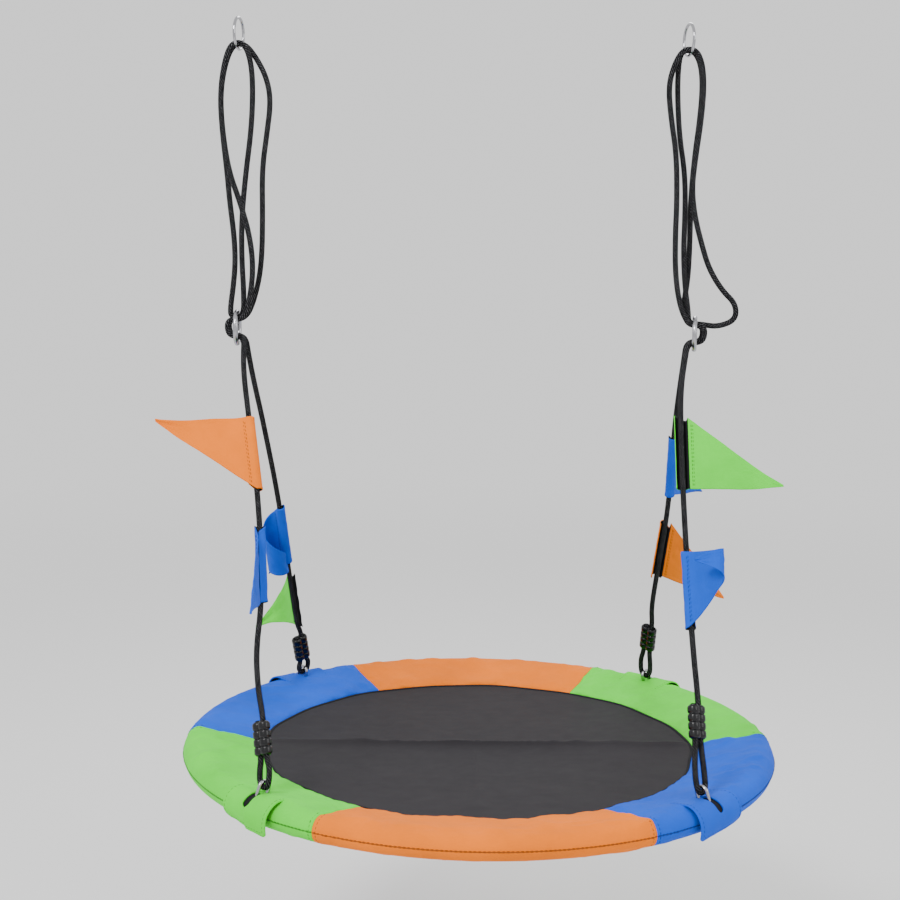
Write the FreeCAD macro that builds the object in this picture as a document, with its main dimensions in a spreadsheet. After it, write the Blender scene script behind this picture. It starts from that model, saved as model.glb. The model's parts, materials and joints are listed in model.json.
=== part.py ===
import FreeCAD, Part
import math
import os
import Sketcher

os.makedirs("parts", exist_ok=True)
V = FreeCAD.Vector
X_AXIS, Y_AXIS, Z_AXIS = V(1, 0, 0), V(0, 1, 0), V(0, 0, 1)

# Saucer nest swing, in millimetres.
# Origin: midpoint between the centres of the two hang rings, on the axis the swing turns about.
# +X runs along that axis to the right as seen from the front, -Y is the front and +Z is up.
DIMENSIONS = {
    # where the seat hangs
    "seat_x": 42.0, "seat_drop": 1198.0,
    # round steel frame
    "frame_radius": 485.5, "tube_radius": 12.7, "tube_wall": 1.6, "spigot_radius": 11.0,
    "spigot_wall": 1.6, "spigot_angle": 6.2, "spigot_root": 2.0, "collar_angle": 0.3,
    "quarter_angle": 90.0,
    "screw_radius": 2.4, "screw_hole_radius": 2.5, "screw_length": 9.0,
    "screw_head_radius": 4.5, "screw_head_height": 2.4,
    # foam, cover and mat
    "foam_radius": 19.4, "foam_angle": 86.0, "cover_radius": 22.5, "cover_bore": 19.5,
    "panel_angle": 60.0, "band_inner": 370.0, "band_edge_top": -2.0, "band_edge_bottom": -8.0,
    "bead_inner": 364.0, "bead_top": -1.0, "bead_bottom": -9.0, "mat_top": -3.0,
    "mat_thickness": 4.0,
    # fabric flaps with the rope slots
    "flap_gap": 0.4, "flap_thickness": 2.2, "flap_angle": 12.4, "flap_inner": 428.0,
    "flap_end_angle": 62.0, "slot_width": 15.0, "slot_inner": 458.0, "cover_slot_outer": 499.0,
    # rope staples welded on the frame
    "staple_wire": 3.0, "staple_half_width": 9.5, "staple_reach": 43.0, "staple_tilt": 22.0,
    # ropes
    "rope_radius": 5.0, "strand_offset": 5.8,
    # double-barrel ferrules
    "ferrule_length": 50.0, "ferrule_radius": 8.0, "ferrule_bore": 5.05, "ferrule_rib": 8.9,
    "ferrule_rib_width": 5.0, "ferrule_rib_pitch": 12.5,
    # rings
    "hang_span": 742.0, "hang_ring_radius": 25.5, "hang_ring_wire": 2.5, "hang_ring_turn": 10.0,
    "adjuster_drop": 483.0, "adjuster_left_x": -375.0, "adjuster_right_x": 396.0,
    "adjuster_radius": 27.0, "adjuster_wire": 4.0, "adjuster_turn": 9.0,
    # pennant flags
    "flag_hoist": 126.0, "flag_fly": 160.0, "flag_cloth": 1.6, "flag_sleeve": 10.1,
    "flag_bore": 8.5,
}

doc = FreeCAD.newDocument("saucer_nest_swing")
sheet = doc.addObject("Spreadsheet::Sheet", "Dimensions")
for row, (name, value) in enumerate(DIMENSIONS.items(), start=1):
    sheet.set("A%d" % row, name)
    sheet.set("B%d" % row, repr(value))
    sheet.setAlias("B%d" % row, name)
doc.recompute()

NODES = []


def dim(name):
    return float(getattr(sheet, name))


def bind(obj, **expressions):
    for prop, text in expressions.items():
        obj.setExpression(prop, text)


def sized(kind, name, **expressions):
    """A Part primitive whose properties follow the sheet."""
    obj = doc.addObject("Part::" + kind, name)
    bind(obj, **{key: "Dimensions." + value for key, value in expressions.items()})
    return obj


def boolean(kind, name, base, tool):
    obj = doc.addObject("Part::" + kind, name)
    obj.Base, obj.Tool = base, tool
    return obj


def node(obj, label):
    obj.Label = label
    NODES.append(obj)
    return obj


def solid_node(label, shape):
    """A piece whose form is swept or revolved in code from sheet values."""
    obj = doc.addObject("Part::Feature", label)
    obj.Shape = shape
    return node(obj, label)


def turn_z(position, degrees):
    return FreeCAD.Placement(position, FreeCAD.Rotation(Z_AXIS, degrees))


SEAT = V(dim("seat_x"), 0, -dim("seat_drop"))
CORNERS = {"front_left": 225.0, "front_right": 315.0, "back_left": 135.0, "back_right": 45.0}


def around_seat(degrees, radius, height):
    angle = math.radians(degrees)
    return SEAT + V(radius * math.cos(angle), radius * math.sin(angle), height)


# ---------------------------------------------------------------- frame, foam and screws
def torus_arc(name, section, sweep, start):
    """Arc of a round bar on the frame circle; start is its first angle about the seat."""
    arc = sized("Torus", name, Radius1="frame_radius", Radius2=section, Angle3=sweep)
    arc.Placement = turn_z(SEAT, start)
    return arc


def screw_cylinder(name, radius, length, angle, above_axis):
    """Upright cylinder at a frame joint, its lower end above_axis over the frame circle."""
    cylinder = sized("Cylinder", name, Radius=radius, Height=length)
    cylinder.Placement = turn_z(around_seat(angle, dim("frame_radius"), above_axis), 0)
    return cylinder


def frame_quarter(index):
    """Quarter of the frame: a socket end, and a reduced spigot that enters the next quarter."""
    start = 90.0 * index
    name = "frame_tube_%d" % (index + 1)
    root = start + dim("quarter_angle") - dim("spigot_root")
    outside = doc.addObject("Part::MultiFuse", name + "_outside")
    outside.Shapes = [torus_arc(name + "_tube", "tube_radius", "quarter_angle", start),
                      torus_arc(name + "_spigot", "spigot_radius", "spigot_angle", root)]
    bore = torus_arc(name + "_bore", "tube_radius", "quarter_angle", start)
    bind(bore, Radius2="Dimensions.tube_radius - Dimensions.tube_wall",
         Angle3="Dimensions.quarter_angle - Dimensions.collar_angle")
    spigot_bore = torus_arc(name + "_spigot_bore", "spigot_radius", "spigot_angle", root)
    spigot_bore.setExpression("Radius2", "Dimensions.spigot_radius - Dimensions.spigot_wall")
    below = -dim("tube_radius") - 1.0
    inside = doc.addObject("Part::MultiFuse", name + "_inside")
    inside.Shapes = [bore, spigot_bore] + [
        screw_cylinder(name + "_drill_" + tag, "screw_hole_radius", "screw_length",
                       end + joint_offset(), below)
        for tag, end in (("a", start), ("b", start + 90.0))]
    node(boolean("Cut", name, outside, inside), name)


def joint_offset():
    """Angle from a frame joint to its screw, at the middle of the spigot's free length."""
    return 0.5 * (dim("spigot_angle") - dim("spigot_root"))


def joint_screws():
    pieces = []
    for index in range(4):
        angle = 90.0 * index + joint_offset()
        below = -dim("tube_radius")
        pieces.append(screw_cylinder("screw_shank_%d" % index, "screw_radius", "screw_length",
                                     angle, below))
        pieces.append(screw_cylinder("screw_head_%d" % index, "screw_head_radius",
                                     "screw_head_height", angle,
                                     below - dim("screw_head_height")))
    screws = doc.addObject("Part::MultiFuse", "joint_screws")
    screws.Shapes = pieces
    node(screws, "joint_screws")


def foam_sleeve(index):
    """Foam tube between two staples, with a pocket for the joint screw's head."""
    name = "foam_sleeve_%d" % (index + 1)
    centre = 90.0 * index + 90.0
    start = centre - 0.5 * dim("foam_angle")
    outer = torus_arc(name + "_outer", "foam_radius", "foam_angle", start)
    inner = torus_arc(name + "_inner", "tube_radius", "foam_angle", start)
    tube = boolean("Cut", name + "_tube", outer, inner)
    pocket = screw_cylinder(name + "_pocket", "screw_head_radius", "screw_length",
                            centre + joint_offset(), -dim("foam_radius") + 2.0)
    pocket.setExpression("Radius", "Dimensions.screw_head_radius + 1")
    node(boolean("Cut", name, tube, pocket), name)


# ---------------------------------------------------------------- cover, bead and mat
def section_sketch(body, name):
    sketch = body.newObject("Sketcher::SketchObject", name)
    plane = [f for f in body.Origin.OriginFeatures if f.Role == "XZ_Plane"][0]
    sketch.AttachmentSupport = [(plane, "")]
    sketch.MapMode = "FlatFace"
    return sketch


def fix_point(sketch, geometry, point, across, up):
    """Hold a sketch point at two sheet expressions measured from the sketch origin."""
    place = sketch.getPoint(geometry, point)
    for kind, value, text in (("DistanceX", place.x, across), ("DistanceY", place.y, up)):
        number = sketch.addConstraint(Sketcher.Constraint(kind, -1, 1, geometry, point, value))
        sketch.setExpression("Constraints[%d]" % number, text)


def closed_lines(sketch, corners, expressions):
    lines = [Part.LineSegment(V(*corners[i], 0), V(*corners[(i + 1) % len(corners)], 0))
             for i in range(len(corners))]
    sketch.addGeometry(lines, False)
    count = len(corners)
    for i in range(count):
        sketch.addConstraint(Sketcher.Constraint("Coincident", i, 2, (i + 1) % count, 1))
    for i, (across, up) in enumerate(expressions):
        fix_point(sketch, i, 1, across, up)


def revolved_body(name, sketch_maker, sweep):
    body = doc.addObject("PartDesign::Body", name)
    sketch = section_sketch(body, name + "_section")
    sketch_maker(sketch)
    turn = body.newObject("PartDesign::Revolution", name + "_turn")
    axis = [f for f in body.Origin.OriginFeatures if f.Role == "Z_Axis"][0]
    turn.Profile = sketch
    turn.ReferenceAxis = (axis, [""])
    turn.Midplane = True
    if sweep:
        turn.setExpression("Angle", "Dimensions." + sweep)
    else:
        turn.Angle = 360.0
    sketch.Visibility = False
    return body


def cover_section(sketch):
    """Round bolster over the foam with a flat band tapering inward from it."""
    centre_x, radius = dim("frame_radius"), dim("cover_radius")
    inner, top, bottom = dim("band_inner"), dim("band_edge_top"), dim("band_edge_bottom")
    touch_top = (centre_x - 0.19 * radius, 0.98 * radius)
    touch_bottom = (centre_x - 0.12 * radius, -0.99 * radius)
    start = math.atan2(touch_bottom[1], touch_bottom[0] - centre_x)
    end = math.atan2(touch_top[1], touch_top[0] - centre_x)
    circle = Part.Circle(V(centre_x, 0, 0), Z_AXIS, radius)
    sketch.addGeometry([
        Part.LineSegment(V(inner, top, 0), V(*touch_top, 0)),
        Part.ArcOfCircle(circle, start, end),
        Part.LineSegment(V(*touch_bottom, 0), V(inner, bottom, 0)),
        Part.LineSegment(V(inner, bottom, 0), V(inner, top, 0)),
        Part.Circle(V(centre_x, 0, 0), Z_AXIS, dim("cover_bore"))], False)
    for constraint in (("Tangent", 0, 2, 1, 2), ("Tangent", 1, 1, 2, 1),
                       ("Coincident", 2, 2, 3, 1), ("Coincident", 3, 2, 0, 1),
                       ("Coincident", 1, 3, 4, 3)):
        sketch.addConstraint(Sketcher.Constraint(*constraint))
    fix_point(sketch, 0, 1, "Dimensions.band_inner", "Dimensions.band_edge_top")
    fix_point(sketch, 3, 1, "Dimensions.band_inner", "Dimensions.band_edge_bottom")
    sketch.addConstraint(Sketcher.Constraint("PointOnObject", 1, 3, -1))
    for kind, text, where, value in (("DistanceX", "frame_radius", (-1, 1, 1, 3), centre_x),
                                     ("Radius", "cover_radius", (1,), radius),
                                     ("Radius", "cover_bore", (4,), dim("cover_bore"))):
        number = sketch.addConstraint(Sketcher.Constraint(kind, *where, value))
        sketch.setExpression("Constraints[%d]" % number, "Dimensions." + text)


def slot_box(name, angle, inner, outer):
    """Upright box that opens a rope slot between two distances from the seat's centre."""
    box = doc.addObject("Part::Box", name)
    bind(box, Length="%s - Dimensions.%s" % (outer, inner), Width="Dimensions.slot_width")
    box.Height = 60.0
    corner = V(dim(inner), -0.5 * dim("slot_width"), 0)
    rotation = FreeCAD.Rotation(Z_AXIS, angle)
    box.Placement = FreeCAD.Placement(SEAT + rotation.multVec(corner), rotation)
    return box


PANELS = {"cover_front": 270.0, "cover_front_right": 330.0, "cover_back_right": 30.0,
          "cover_back": 90.0, "cover_back_left": 150.0, "cover_front_left": 210.0}


def cover_panel(name, centre):
    body = revolved_body(name + "_body", cover_section, "panel_angle")
    body.Placement = turn_z(SEAT, centre)
    corners = [angle for angle in CORNERS.values() if abs(angle - centre) < 30.0]
    if not corners:
        node(body, name)
        return
    slot = slot_box(name + "_slot", corners[0], "slot_inner", "Dimensions.cover_slot_outer")
    node(boolean("Cut", name, body, slot), name)


def ring_rectangle(inner, outer, bottom, top):
    """Sketch maker for a rectangle given by sheet expressions."""
    def maker(sketch):
        numbers = [float(FreeCAD.Units.Quantity(str(evaluate(text)))) for text in
                   (inner, outer, bottom, top)]
        left, right, low, high = numbers
        closed_lines(sketch, [(left, low), (right, low), (right, high), (left, high)],
                     [(inner, bottom), (outer, bottom), (outer, top), (inner, top)])
    return maker


def evaluate(text):
    """Value of a sheet expression made of named dimensions joined by minus signs."""
    names = [word.strip().replace("Dimensions.", "") for word in text.split(" - ")]
    return dim(names[0]) - sum(dim(name) for name in names[1:])


def mat_and_bead():
    bead = revolved_body("edge_bead", ring_rectangle(
        "Dimensions.bead_inner", "Dimensions.band_inner",
        "Dimensions.bead_bottom", "Dimensions.bead_top"), None)
    bead.Placement = turn_z(SEAT, 0)
    node(bead, "edge_bead")
    mat = sized("Cylinder", "seat_mat", Radius="bead_inner", Height="mat_thickness")
    mat.Placement = turn_z(SEAT + V(0, 0, dim("mat_top") - dim("mat_thickness")), 0)
    node(mat, "seat_mat")


# ---------------------------------------------------------------- slotted flaps
def flap_outline(offset):
    """Section points of the flap's inner or outer face: inner edge, tangent, side, end."""
    centre, radius = dim("frame_radius"), dim("cover_radius") + offset
    rise = math.atan2(dim("cover_radius") - dim("band_edge_top"),
                      dim("frame_radius") - dim("band_inner"))
    normal = V(-math.sin(rise), 0, math.cos(rise))
    touch = V(centre, 0, 0) + normal * radius
    inner = touch - V(math.cos(rise), 0, math.sin(rise)) * (centre - dim("flap_inner"))
    last = -math.radians(dim("flap_end_angle"))
    side = V(centre + radius * math.cos(0.2), 0, radius * math.sin(0.2))
    end = V(centre + radius * math.cos(last), 0, radius * math.sin(last))
    return inner, touch, side, end


def slot_flap(corner, angle):
    name = "slot_flap_" + corner
    low = flap_outline(dim("flap_gap"))
    high = flap_outline(dim("flap_gap") + dim("flap_thickness"))
    edges = [Part.LineSegment(low[0], low[1]).toShape(),
             Part.Arc(low[1], low[2], low[3]).toShape(),
             Part.LineSegment(low[3], high[3]).toShape(),
             Part.Arc(high[3], high[2], high[1]).toShape(),
             Part.LineSegment(high[1], high[0]).toShape(),
             Part.LineSegment(high[0], low[0]).toShape()]
    face = Part.Face(Part.Wire(edges))
    face.rotate(V(0, 0, 0), Z_AXIS, angle - 0.5 * dim("flap_angle"))
    band = face.revolve(V(0, 0, 0), Z_AXIS, dim("flap_angle"))
    band.translate(SEAT)
    base = doc.addObject("Part::Feature", name + "_band")
    base.Shape = band
    slot = slot_box(name + "_slot", angle, "slot_inner",
                    "Dimensions.frame_radius + Dimensions.cover_radius + 10")
    node(boolean("Cut", name, base, slot), name)


# ---------------------------------------------------------------- ropes
def smooth_route(points):
    """Straight runs joined by tangent arcs; also gives back the arc radii."""
    edges, radii, here = [], [], points[0]
    for before, corner, after in zip(points, points[1:], points[2:]):
        back, ahead = before - corner, after - corner
        turn = math.pi - back.getAngle(ahead)
        cut = 0.45 * min(back.Length, ahead.Length)
        radius = cut / math.tan(0.5 * turn)
        back, ahead = back.normalize(), ahead.normalize()
        middle = (back + ahead).normalize()
        bulge = corner + middle * (math.hypot(cut, radius) - radius)
        arc_start, arc_end = corner + back * cut, corner + ahead * cut
        edges.append(Part.LineSegment(here, arc_start).toShape())
        edges.append(Part.Arc(arc_start, bulge, arc_end).toShape())
        radii.append(radius)
        here = arc_end
    edges.append(Part.LineSegment(here, points[-1]).toShape())
    return edges, radii


def rope(label, points):
    edges, radii = smooth_route(points)
    path = Part.Wire(edges)
    radius = dim("rope_radius")
    ring = Part.Wire([Part.Circle(points[0], points[1] - points[0], radius).toShape()])
    shape = path.makePipeShell([ring], True, False)
    wanted = math.pi * radius ** 2 * path.Length
    print("%s: length %.0f, radii %.0f to %.0f, volume ratio %.4f, valid %s" % (
        label, path.Length, min(radii), max(radii), shape.Volume / wanted, shape.isValid()))
    solid_node(label, shape)


def vectors(rows):
    return [V(*row) for row in rows]


# Each upper rope runs from the front leg's side of the adjuster ring up over the hang ring, down
# round the adjuster, up over the hang ring again and down to the back leg's side.
UPPER_LEFT = vectors([
    (-390, -10.5, -480.5), (-390, -10.5, -469), (-363, -10.5, -469), (-353, -12, -440),
    (-346, -14, -385), (-352, -14, -329), (-369, -13, -272), (-387, -10, -225),
    (-398, -7, -157), (-401, -7, -98), (-394, -7, -48), (-381, -6, -16),
    (-361, -6, -16), (-350, -7, -46), (-347, -7, -92), (-350, -6, -156),
    (-360, -4, -230), (-367, -2, -304), (-367, -1, -370), (-364, 0, -420),
    (-364, 0, -466), (-386, 0, -466), (-386, 0, -446),
    (-382, 4, -415), (-379, 9, -374), (-381, 9, -329), (-388, 8, -274),
    (-392, 7, -225), (-400, 7, -156), (-403, 7, -98), (-395, 7, -48),
    (-381, 6, -16), (-361, 6, -16), (-343, 7, -38), (-326, 7, -70),
    (-319, 7, -108), (-326, 7, -163), (-334, 8, -221), (-333, 8, -303),
    (-335, 9, -380), (-347, 10, -436), (-362, 10.5, -469), (-390, 10.5, -469),
    (-390, 10.5, -480.5)])
UPPER_RIGHT = vectors([
    (411, -10.5, -480.5), (411, -10.5, -469), (384, -10.5, -469), (368, -10, -437),
    (359, -9, -385), (357, -8, -325), (358, -8, -261), (355, -7, -187),
    (344, -7, -127), (338, -7, -76), (347, -7, -40), (361, -6, -16),
    (381, -6, -16), (393, -7, -38), (397, -7, -76), (394, -7, -130),
    (387, -8, -187), (382, -8, -240), (388, -8, -286), (402, -8, -335),
    (415, -7, -373), (438, -6, -409), (463, -5, -432), (464, -3, -459),
    (434, -1, -471), (407, 0, -467), (385, 0, -466), (384, 0, -444),
    (377, 2, -402), (373, 3, -343), (374, 3, -285), (372, 4, -219),
    (361, 6, -158), (357, 7, -96), (357, 7, -48), (361, 6, -16),
    (381, 6, -16), (393, 7, -38), (397, 7, -76), (394, 8, -130),
    (388, 10, -187), (384, 13, -260), (385, 13, -326), (384, 13, -390),
    (377, 12, -438), (384, 10.5, -469), (411, 10.5, -469), (411, 10.5, -480.5)])

# Each leg runs from inside its adjuster ring down to the ferrule; the rest of the list is
# completed by the eye through the staple. ferrule_distance is staple wire to ferrule centre.
LEGS = {
    "front_left": (65.0, vectors([
        (-390, -10.5, -485.5), (-390, -10, -497), (-362, -9, -497), (-362, -24, -530),
        (-358, -43, -568), (-349, -67, -615), (-322, -141, -762), (-309, -212, -903),
        (-315, -248, -975), (-308, -277, -1031)])),
    "back_left": (48.0, vectors([
        (-390, 10.5, -485.5), (-390, 10, -497), (-362, 9, -497), (-359, 24, -530),
        (-353, 48, -578), (-342, 84, -648), (-322, 160, -800), (-311, 236, -949),
        (-301, 291, -1064)])),
    "front_right": (98.0, vectors([
        (411, -10.5, -485.5), (411, -10, -497), (384, -9, -497), (377, -24, -529),
        (370, -42, -565), (366, -66, -612), (365, -133, -746), (368, -206, -891),
        (371, -248, -974)])),
    "back_right": (82.0, vectors([
        (411, 10.5, -485.5), (411, 10, -497), (384, 9, -497), (383, 24, -530),
        (381, 51, -585), (380, 88, -657), (386, 160, -800), (378, 236, -950),
        (375, 270, -1018)])),
}


def staple_point(angle):
    """Centre of the staple's wire at the top of its bend."""
    tilt = math.radians(dim("staple_tilt"))
    reach = dim("staple_reach")
    return around_seat(angle, dim("frame_radius") - reach * math.sin(tilt),
                       reach * math.cos(tilt))


def eye_frame(corner):
    """Staple point, leg direction, sideways direction and ferrule centre of one corner."""
    distance, points = LEGS[corner]
    angle = math.radians(CORNERS[corner])
    wire = staple_point(CORNERS[corner])
    along = (points[-1] - wire).normalize()
    tangent = V(-math.sin(angle), math.cos(angle), 0)
    across = (tangent - along * tangent.dot(along)).normalize()
    if across.x < 0:
        across = across * -1.0
    return wire, along, across, wire + along * distance


def leg_rope(corner):
    wire, along, across, ferrule = eye_frame(corner)
    half = 0.5 * dim("ferrule_length")
    side = across * dim("strand_offset")
    radial = V(wire.x - SEAT.x, wire.y - SEAT.y, 0).normalize()
    tilt = math.radians(dim("staple_tilt"))
    pull = radial * -math.sin(tilt) + Z_AXIS * math.cos(tilt)
    below = wire - pull * (dim("rope_radius") + dim("staple_wire") + 1.2)
    level = V(-radial.y, radial.x, 0) * math.copysign(1.0, across.dot(V(-radial.y, radial.x, 0)))
    throat = 0.5 * (ferrule - wire).dot(along) - 0.5 * half
    points = list(LEGS[corner][1])
    points += [ferrule + along * (half + 12) + side, ferrule - along * (half + 6) + side,
               wire + along * min(throat, 22.0) + across * 12,
               below + level * 10, below - level * 10,
               wire + along * min(throat, 22.0) - across * 12,
               ferrule - along * (half + 6) - side, ferrule + along * (half + 3) - side]
    rope("leg_rope_" + corner, points)


# ---------------------------------------------------------------- metal fittings
def frame_rotation(x_dir, z_dir):
    y_dir = z_dir.cross(x_dir).normalize()
    return FreeCAD.Rotation(x_dir, y_dir, z_dir, "ZXY")


def rope_staple(corner):
    """U of round wire, saddle-cut where its legs are welded to the frame tube."""
    angle = CORNERS[corner]
    name = "rope_staple_" + corner
    half, wire, reach = dim("staple_half_width"), dim("staple_wire"), dim("staple_reach")
    radial = V(math.cos(math.radians(angle)), math.sin(math.radians(angle)), 0)
    tilt = math.radians(dim("staple_tilt"))
    pull = radial * -math.sin(tilt) + Z_AXIS * math.cos(tilt)
    side = radial * math.cos(tilt) + Z_AXIS * math.sin(tilt)
    centre = around_seat(angle, dim("frame_radius"), 0)
    bend = centre + pull * (reach - half)
    foot = 4.0
    path = Part.Wire([
        Part.LineSegment(centre + pull * foot - side * half, bend - side * half).toShape(),
        Part.Arc(bend - side * half, centre + pull * reach, bend + side * half).toShape(),
        Part.LineSegment(bend + side * half, centre + pull * foot + side * half).toShape()])
    ring = Part.Wire([Part.Circle(centre + pull * foot - side * half, pull, wire).toShape()])
    base = doc.addObject("Part::Feature", name + "_bar")
    base.Shape = path.makePipeShell([ring], True, False)
    saddle = sized("Torus", name + "_saddle", Radius1="frame_radius", Radius2="tube_radius")
    saddle.Placement = turn_z(SEAT, 0)
    node(boolean("Cut", name, base, saddle), name)


def ferrule(corner):
    """Pressed double-barrel clamp: two bores side by side, ribbed along its length."""
    name = "ferrule_" + corner
    _, along, across, centre = eye_frame(corner)
    rotation = frame_rotation(across, along)

    def barrel(tag, radius, length, sideways, start):
        cylinder = doc.addObject("Part::Cylinder", "%s_%s" % (name, tag))
        bind(cylinder, Radius=radius, Height=length)
        place = centre + across * sideways + along * start
        cylinder.Placement = FreeCAD.Placement(place, rotation)
        return cylinder

    length, offset = dim("ferrule_length"), dim("strand_offset")
    barrels, bores = [], []
    for tag, sideways in (("a", offset), ("b", -offset)):
        barrels.append(barrel("barrel_" + tag, "Dimensions.ferrule_radius",
                              "Dimensions.ferrule_length", sideways, -0.5 * length))
        bores.append(barrel("bore_" + tag, "Dimensions.ferrule_bore",
                            "Dimensions.ferrule_length + 4", sideways, -0.5 * length - 2))
        for rib in range(4):
            start = (rib - 1.5) * dim("ferrule_rib_pitch") - 0.5 * dim("ferrule_rib_width")
            barrels.append(barrel("rib_%s%d" % (tag, rib), "Dimensions.ferrule_rib",
                                  "Dimensions.ferrule_rib_width", sideways, start))
    outside = doc.addObject("Part::MultiFuse", name + "_outside")
    outside.Shapes = barrels
    inside = doc.addObject("Part::MultiFuse", name + "_inside")
    inside.Shapes = bores
    node(boolean("Cut", name, outside, inside), name)


def round_ring(label, centre, turn, radius, wire):
    """Round ring standing up with its hole facing along X, then turned about the vertical."""
    ring = sized("Torus", label, Radius1=radius, Radius2=wire)
    rotation = FreeCAD.Rotation(Z_AXIS, turn) * FreeCAD.Rotation(Y_AXIS, 90)
    ring.Placement = FreeCAD.Placement(centre, rotation)
    node(ring, label)


# ---------------------------------------------------------------- pennant flags
# leg, index of the rope run it hangs on, share along the run, heading in degrees about the
# rope (0 = +X, 90 = back) and height of the tip against the hoist's middle
FLAGS = {
    "flag_front_left_orange": ("front_left", 5, 0.47, 180.0, 77.0),
    "flag_front_left_blue": ("front_left", 6, 0.62, 268.0, -118.0),
    "flag_back_left_blue": ("back_left", 6, 0.48, 135.0, -70.0),
    "flag_back_left_green": ("back_left", 7, 0.57, 113.0, -150.0),
    "flag_front_right_green": ("front_right", 5, 0.45, 0.0, -60.0),
    "flag_front_right_blue": ("front_right", 6, 0.93, 297.0, -10.0),
    "flag_back_right_blue": ("back_right", 5, 0.48, 64.0, -130.0),
    "flag_back_right_orange": ("back_right", 6, 0.63, 24.0, -145.0),
}


def pad_sketch(body, name, role, maker, length, operation):
    sketch = body.newObject("Sketcher::SketchObject", name + "_sketch")
    plane = [f for f in body.Origin.OriginFeatures if f.Role == role][0]
    sketch.AttachmentSupport = [(plane, "")]
    sketch.MapMode = "FlatFace"
    maker(sketch)
    feature = body.newObject("PartDesign::" + operation, name)
    feature.Profile = sketch
    feature.Midplane = True
    feature.setExpression("Length", length)
    sketch.Visibility = False
    return feature


def circle_maker(text):
    def maker(sketch):
        circle = Part.Circle(V(0, 0, 0), Z_AXIS, dim(text))
        sketch.addGeometry(circle, False)
        sketch.addConstraint(Sketcher.Constraint("Coincident", 0, 3, -1, 1))
        number = sketch.addConstraint(Sketcher.Constraint("Radius", 0, dim(text)))
        sketch.setExpression("Constraints[%d]" % number, "Dimensions." + text)
    return maker


def pennant_maker(tip):
    def maker(sketch):
        half, root, fly = 0.5 * dim("flag_hoist"), dim("flag_bore") + 0.8, dim("flag_fly")
        root_text = "Dimensions.flag_bore + 0.8"
        half_text = "Dimensions.flag_hoist / 2"
        closed_lines(sketch, [(root, -half), (fly, tip - 2), (fly, tip + 2), (root, half)],
                     [(root_text, "-" + half_text), ("Dimensions.flag_fly", repr(tip - 2)),
                      ("Dimensions.flag_fly", repr(tip + 2)), (root_text, half_text)])
    return maker


def flag(label, corner, run, share, heading, tip):
    """Triangular pennant with a sleeve that turns on its rope."""
    top, bottom = LEGS[corner][1][run], LEGS[corner][1][run + 1]
    axis = (top - bottom).normalize()
    angle = math.radians(heading)
    fly = V(math.cos(angle), math.sin(angle), 0)
    fly = (fly - axis * fly.dot(axis)).normalize()
    centre = top + (bottom - top) * share
    body = doc.addObject("PartDesign::Body", label + "_body")
    pad_sketch(body, label + "_sleeve", "XY_Plane", circle_maker("flag_sleeve"),
               "Dimensions.flag_hoist", "Pad")
    pad_sketch(body, label + "_cloth", "XZ_Plane", pennant_maker(tip),
               "Dimensions.flag_cloth", "Pad")
    pad_sketch(body, label + "_bore", "XY_Plane", circle_maker("flag_bore"),
               "Dimensions.flag_hoist + 10", "Pocket")
    body.Placement = FreeCAD.Placement(centre, frame_rotation(fly, axis))
    node(body, label)
    print("%s hinge: centre %s axis %s" % (label, tuple(round(c, 2) for c in centre),
                                           tuple(round(c, 5) for c in axis)))


def build():
    for index in range(4):
        frame_quarter(index)
        foam_sleeve(index)
    joint_screws()
    for name, centre in PANELS.items():
        cover_panel(name, centre)
    mat_and_bead()
    half = 0.5 * dim("hang_span")
    turn = dim("hang_ring_turn")
    round_ring("hang_ring_left", V(-half, 0, 0), -turn, "hang_ring_radius", "hang_ring_wire")
    round_ring("hang_ring_right", V(half, 0, 0), turn, "hang_ring_radius", "hang_ring_wire")
    low = -dim("adjuster_drop")
    round_ring("adjuster_ring_left", V(dim("adjuster_left_x"), 0, low), 0.0,
               "adjuster_radius", "adjuster_wire")
    round_ring("adjuster_ring_right", V(dim("adjuster_right_x"), 0, low),
               -dim("adjuster_turn"), "adjuster_radius", "adjuster_wire")
    rope("upper_rope_left", UPPER_LEFT)
    rope("upper_rope_right", UPPER_RIGHT)
    for corner, angle in CORNERS.items():
        rope_staple(corner)
        ferrule(corner)
        leg_rope(corner)
        slot_flap(corner, angle)
    for label, values in FLAGS.items():
        flag(label, *values)


def write_parts():
    doc.recompute()
    bad = [obj.Name for obj in doc.Objects
           if "Invalid" in obj.State or "Error" in obj.State]
    if bad:
        raise RuntimeError("failed objects: " + ", ".join(bad))
    for obj in NODES:
        shape = obj.Shape
        if shape.isNull() or not shape.isValid() or not shape.Solids:
            raise RuntimeError("bad shape: " + obj.Label)
        if len(shape.Solids) > 1 and obj.Label != "joint_screws":
            raise RuntimeError("more than one solid: " + obj.Label)
    for obj in NODES:
        obj.Shape.exportStep("parts/%s.step" % obj.Label)
    print("%d nodes written" % len(NODES))


build()
write_parts()
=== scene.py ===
import json
import math
from collections import namedtuple

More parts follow.
